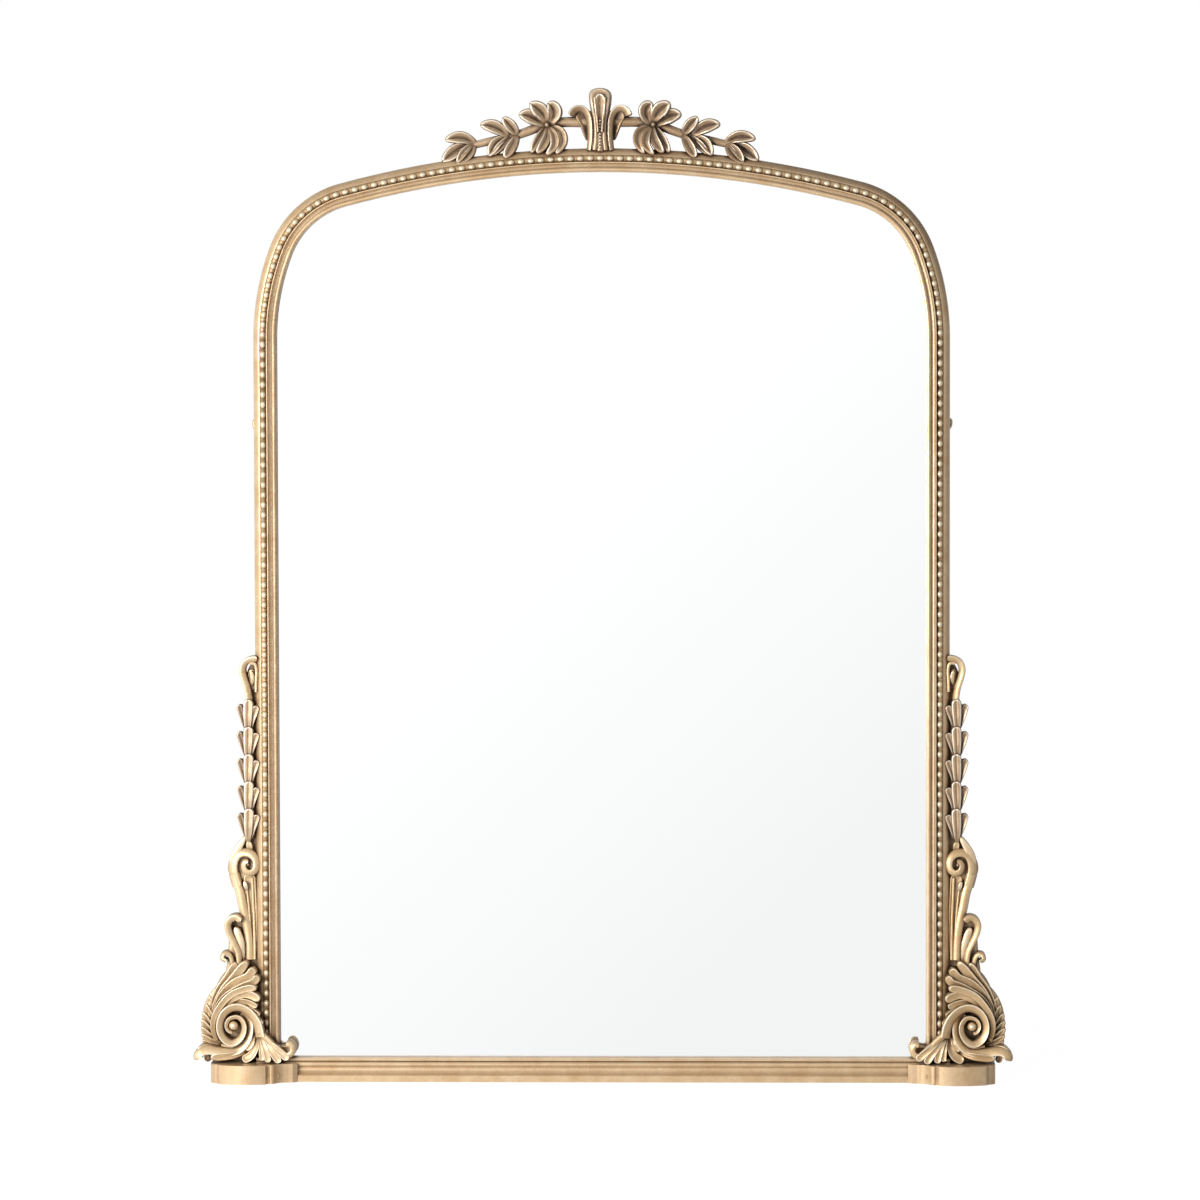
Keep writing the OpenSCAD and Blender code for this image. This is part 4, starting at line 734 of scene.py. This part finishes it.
for word, carve, finish in (("crook", carve_crook, "gilt"), ("husk_drop", carve_husks, "brown"),
                            ("volute", carve_volute, "gilt"), ("acanthus", carve_acanthus, "gilt")):
    carving = carve()
    for side, hand in SIDES:
        node = word + "_" + hand
        dress(carving.piece("carved_" + node, node, side, STILE_X, BRACKET_T), CARVED_FINISH[finish, side])


# --- Crest. Points are [distance along the outside of the crown, v], sizes mm ---
def carve_plume():
    """The finial: a ticked reed that opens into a round head, between two C scrolls."""
    c = Carving(26, crest=True)
    # the ground behind the finial, painted dark as shade
    c.leaf([[0, -2], [0, 24], [0, 47]], 17, 0.36, full=0.6, dish=0.0, root=0.9, dark=0.6)
    # the stem: a ticked reed between two plain ones that splay at the foot
    c.band([[0, -3], [0, 12], [0, 27], [0, 34]], 2.6, 2.0, 0.66, 0.8, crown=0.3, dark=0.2)
    for i in range(9):
        c.ball([0, 1.0 + i * 3.0], 2.0, 0.72 + 0.014 * i, flat=0.84)
    # the head: a round teardrop with a sunk eye, folded between two outer lobes
    c.leaf([[0, 17], [0, 38], [0, 54.6]], 20.6, 0.86, full=0.74, dish=0.05, root=0.25, rub_and_highlight=0.5, steps=36,
           turn=0.25)
    c.leaf([[0, 14], [0, 33], [0, 49.6]], 10.4, 0.94, full=0.72, dish=0.4, vein=0.5, rub_and_highlight=0.9)
    for s in (-1, 1):
        c.band([[s * 5.0, -2], [s * 3.8, 8], [s * 3.6, 18], [s * 4.6, 30], [s * 6.6, 42]], 2.0, 1.5,
               0.64, 0.84, crown=0.4)
        c.band([[s * 1.8, 14], [s * 2.6, 26], [s * 4.0, 38], [s * 4.4, 46]], 0.8, 1.1, 0.86, 0.96, crown=0.5,
               rims=(0.9, 0.9))
        # C scroll: a pale outer edge that sweeps over, and the brown shaded cheek inside it
        c.leaf([[s * 9.6, 8], [s * 13.0, 25], [s * 21, 33.0]], 14.0, 0.50, full=0.55, dish=0.35, dark=0.3,
               root=0.5)
        c.band([[s * 10.6, -2], [s * 9.4, 8], [s * 9.2, 18], [s * 10.4, 28.6], [s * 14.4, 35.0],
                [s * 19.6, 36.2], [s * 23.6, 33.8], [s * 25.4, 29.6]], 2.0, 3.6, 0.60, 0.80, tilt=0.5 * s,
               crown=0.25, rims=(0.9, 0.0) if s > 0 else (0.0, 0.9))
        c.band([[s * 6.6, -2], [s * 6.6, 10], [s * 7.2, 24], [s * 9.6, 34]], 1.6, 1.4, 0.56, 0.7,
               crown=0.4, dark=0.1, rims=(0.2, 0.2))
    return c


# each leaf of a spray: its spine, its width and height, and its kind, a broad leaf or a reeded one
SPRAY = [
    ([[45, 23], [40.6, 31.6], [41.6, 38.0], [45.8, 42.4]], 11.4, 0.9, "broad"),
    ([[47.2, 25], [51.0, 33.4], [55.4, 38.4], [61.4, 43.2]], 11.6, 1.0, "broad"),
    ([[49.4, 22.4], [57.2, 28.8], [64, 32.2], [72, 33.4]], 11.0, 0.86, "broad"),
    ([[45, 22], [35.8, 16], [34.2, 6], [40.4, -4.6]], 7.2, 0.8, "reed"),
    ([[46, 21], [41.6, 12.6], [41.8, 3.4], [49.4, -5]], 7.2, 0.9, "reed"),
    ([[47, 21], [48.2, 11.4], [52.8, 3], [58.4, -2.4]], 7.4, 0.88, "reed"),
    ([[48.6, 21], [54, 13.4], [59, 5.4], [63.4, -2]], 6.6, 0.76, "reed"),
    ([[75, 15.4], [80, 24], [86.4, 32.4]], 8.4, 0.8, "broad"),
    ([[83, 15], [90.4, 22.2], [98, 26.2], [107, 27.8]], 10.0, 0.74, "broad"),
    ([[75, 14.6], [81.4, 4.4], [88, -4.8]], 8.2, 0.8, "reed"),
    ([[80.6, 14.6], [89.8, 7.4], [99.4, -0.6]], 6.6, 0.66, "reed"),
    ([[86, 14], [95, 9.2], [102.6, -1.6]], 8.6, 0.72, "broad"),
    ([[113, 11], [121.4, 17.2], [130, 19.4], [140, 18.6]], 9.2, 0.64, "broad"),
    ([[114.6, 10.6], [121, 2.4], [132.6, -5]], 7.4, 0.7, "reed"),
    ([[116.6, 11], [124.6, 5], [132, -3.6]], 6.0, 0.78, "reed"),
    ([[120.4, 10], [132, 7.4], [145.6, -0.6]], 10.6, 0.6, "broad"),
]


def carve_spray():
    """One leafy spray: a branch that thins as it runs down the crown, and the leaves on it."""
    c = Carving(23, crest=True)
    c.band([[10, 24.6], [20, 24.4], [32, 24.6], [48, 23.6], [65, 18.2], [77, 15.2], [90, 13.4],
            [106, 11.6], [118, 9.6], [136, 3]], 5.0, 3.0, 0.5, 0.46, crown=0.5, dark=0.1, rims=(0.7, 0.0))
    kinds = {"broad": dict(root=0.4, vein=1.1, ribs=0.25, point=0.72),
             "reed": dict(root=0.45, vein=0.7, ribs=0.5, point=0.6, tilt=0.15)}
    spread = {"broad": 1.28, "reed": 1.22}
    for points, wide, high, kind in SPRAY:
        c.leaf(points, wide * spread[kind], high, full=0.52, dark=0.1, steps=36, rub_and_highlight=1.0, **kinds[kind])
    c.ball([47.5, 22.6], 2.2, 0.95, flat=0.7)
    return c


spray = carve_spray()
dress(carve_plume().piece("carved_plume", "crest_plume", 1, 0, CREST_BACK), gilt_crest)
for side, hand in SIDES:
    dress(spray.piece("carved_spray_" + hand, "crest_spray_" + hand, side, 0, CREST_BACK),
          CARVED_FINISH["brown", side])


# --- Studio ---
def camera_at(azimuth, elevation, distance, target, focal_px, roll):
    """Looks at the target from the given angles; the lens is focal_px of a 1200 px wide frame."""
    a, e = math.radians(azimuth), math.radians(elevation)
    away = Vector((math.sin(a) * math.cos(e), -math.cos(a) * math.cos(e), math.sin(e)))
    right = (-away).cross(Vector((0, 0, 1))).normalized()
    up = right.cross(-away)
    c, s = math.cos(math.radians(roll)), math.sin(math.radians(roll))
    x, y = right * c + up * s, up * c - right * s
    data = bpy.data.cameras.new("photo_camera")
    data.lens = focal_px / 1200 * 36
    data.clip_end = 40
    obj = bpy.data.objects.new("photo_camera", data)
    obj.matrix_world = Matrix.Translation(Vector(target) + away * distance) @ Matrix(
        [[x[i], y[i], away[i]] for i in range(3)]).to_4x4()
    scene.collection.objects.link(obj)
    scene.camera = obj


camera_at(1.75, 3.11, 5.0, (-0.00146, 0, 0.44448), 5433.8, -0.147)


def area_light(name, at, towards, size, power, colour):
    """A square lamp, in metres and watts, that faces the point towards."""
    data = bpy.data.lights.new(name, "AREA")
    data.shape, data.size, data.energy = "SQUARE", size, power
    data.color = tone(colour)[:3]
    obj = bpy.data.objects.new(name, data)
    facing = (Vector(at) - Vector(towards)).to_track_quat("Z", "Y")
    obj.matrix_world = Matrix.Translation(at) @ facing.to_matrix().to_4x4()
    scene.collection.objects.link(obj)


area_light("key_left", (-2.1, -2.3, 0.85), (0, 0, 0.45), 0.9, 47, "#fffaf2")
area_light("fill_low_left", (-1.2, -2.2, 0.45), (0, 0, 0.85), 0.6, 30, "#fff6ea")


def studio_world():
    """White all round to the camera. What metal and glass show of it falls off a little from upper
    left to lower right: in the plate as far as the photograph shows, and further out for the
    gilding, which also sees less of it overhead. What lights matt surfaces is weaker still, most
    of all from the right and from overhead."""
    world = bpy.data.worlds.new("studio")
    scene.world = world
    world.use_nodes = True
    tree = world.node_tree
    tree.nodes.clear()
    path = add(tree, "ShaderNodeLightPath")
    seen = add(tree, "ShaderNodeMath", operation="MAXIMUM", inputs={
        0: path.outputs["Is Camera Ray"], 1: path.outputs["Is Transmission Ray"]})
    way = add(tree, "ShaderNodeTexCoord").outputs["Generated"]
    along = add(tree, "ShaderNodeVectorMath", operation="DOT_PRODUCT", inputs={0: way, 1: (3.4, 0.0, -3.66)})
    height = add(tree, "ShaderNodeSeparateXYZ", inputs={0: way})
    plate_fall = add(tree, "ShaderNodeMapRange", inputs={
        "Value": along.outputs["Value"], "From Min": 0.02, "From Max": 0.45,
        "To Min": 1.045, "To Max": 0.925})
    side_fall = add(tree, "ShaderNodeMapRange", inputs={
        "Value": along.outputs["Value"], "From Min": 0.6, "From Max": 3.0, "To Min": 0.0, "To Max": -0.42})
    over_fall = add(tree, "ShaderNodeMapRange", inputs={
        "Value": height.outputs["Z"], "From Min": 0.3, "From Max": 0.75, "To Min": 0.0, "To Max": -0.55})
    falls = add(tree, "ShaderNodeMath", operation="ADD", inputs={
        0: side_fall.outputs[0], 1: over_fall.outputs[0]})
    shown = add(tree, "ShaderNodeMath", operation="ADD", inputs={
        0: plate_fall.outputs[0], 1: falls.outputs[0]})
    dim = add(tree, "ShaderNodeVectorMath", operation="DOT_PRODUCT", inputs={0: way, 1: (0.75, 0.0, 0.6)})
    matt = add(tree, "ShaderNodeMapRange", inputs={
        "Value": dim.outputs["Value"], "From Min": -1.0, "From Max": 1.0, "To Min": 0.46, "To Max": 0.14})
    level = add(tree, "ShaderNodeMix", data_type="FLOAT", inputs={
        0: path.outputs["Is Glossy Ray"], 2: matt.outputs[0], 3: shown.outputs[0]})
    final = add(tree, "ShaderNodeMix", data_type="FLOAT", inputs={
        0: seen.outputs[0], 2: level.outputs[0], 3: 1.0})
    sky = add(tree, "ShaderNodeBackground", inputs={"Color": (1, 1, 1, 1), "Strength": final.outputs[0]})
    add(tree, "ShaderNodeOutputWorld", inputs={"Surface": sky.outputs[0]})


def studio_floor():
    """Pale floor 16 m square: it keeps the mirror's shadow, and looks white to the camera."""
    mesh = bpy.data.meshes.new("studio_floor")
    mesh.from_pydata([(-8, -8, 0), (8, -8, 0), (8, 8, 0), (-8, 8, 0)], [], [(0, 1, 2, 3)])
    obj = bpy.data.objects.new("studio_floor", mesh)
    scene.collection.objects.link(obj)
    obj.visible_glossy = False
    mat, tree = material("pale_studio_floor")
    path = add(tree, "ShaderNodeLightPath")
    mirrored = add(tree, "ShaderNodeMath", operation="MAXIMUM", inputs={
        0: path.outputs["Is Glossy Ray"], 1: path.outputs["Is Transmission Ray"]})
    seen = add(tree, "ShaderNodeMath", operation="MAXIMUM", inputs={
        0: path.outputs["Is Camera Ray"], 1: mirrored.outputs[0]})
    share = add(tree, "ShaderNodeMath", operation="MULTIPLY", inputs={0: seen.outputs[0], 1: 0.8})
    lit = add(tree, "ShaderNodeBsdfDiffuse", inputs={"Color": tone("#f0f0f0")})
    white = add(tree, "ShaderNodeEmission", inputs={"Color": (1, 1, 1, 1), "Strength": 1.2})
    finish_material(tree, add(tree, "ShaderNodeMixShader", inputs={
        0: share.outputs[0], 1: lit.outputs[0], 2: white.outputs[0]}))
    mesh.materials.append(mat)


studio_world()
studio_floor()
scene.view_settings.view_transform = "Standard"
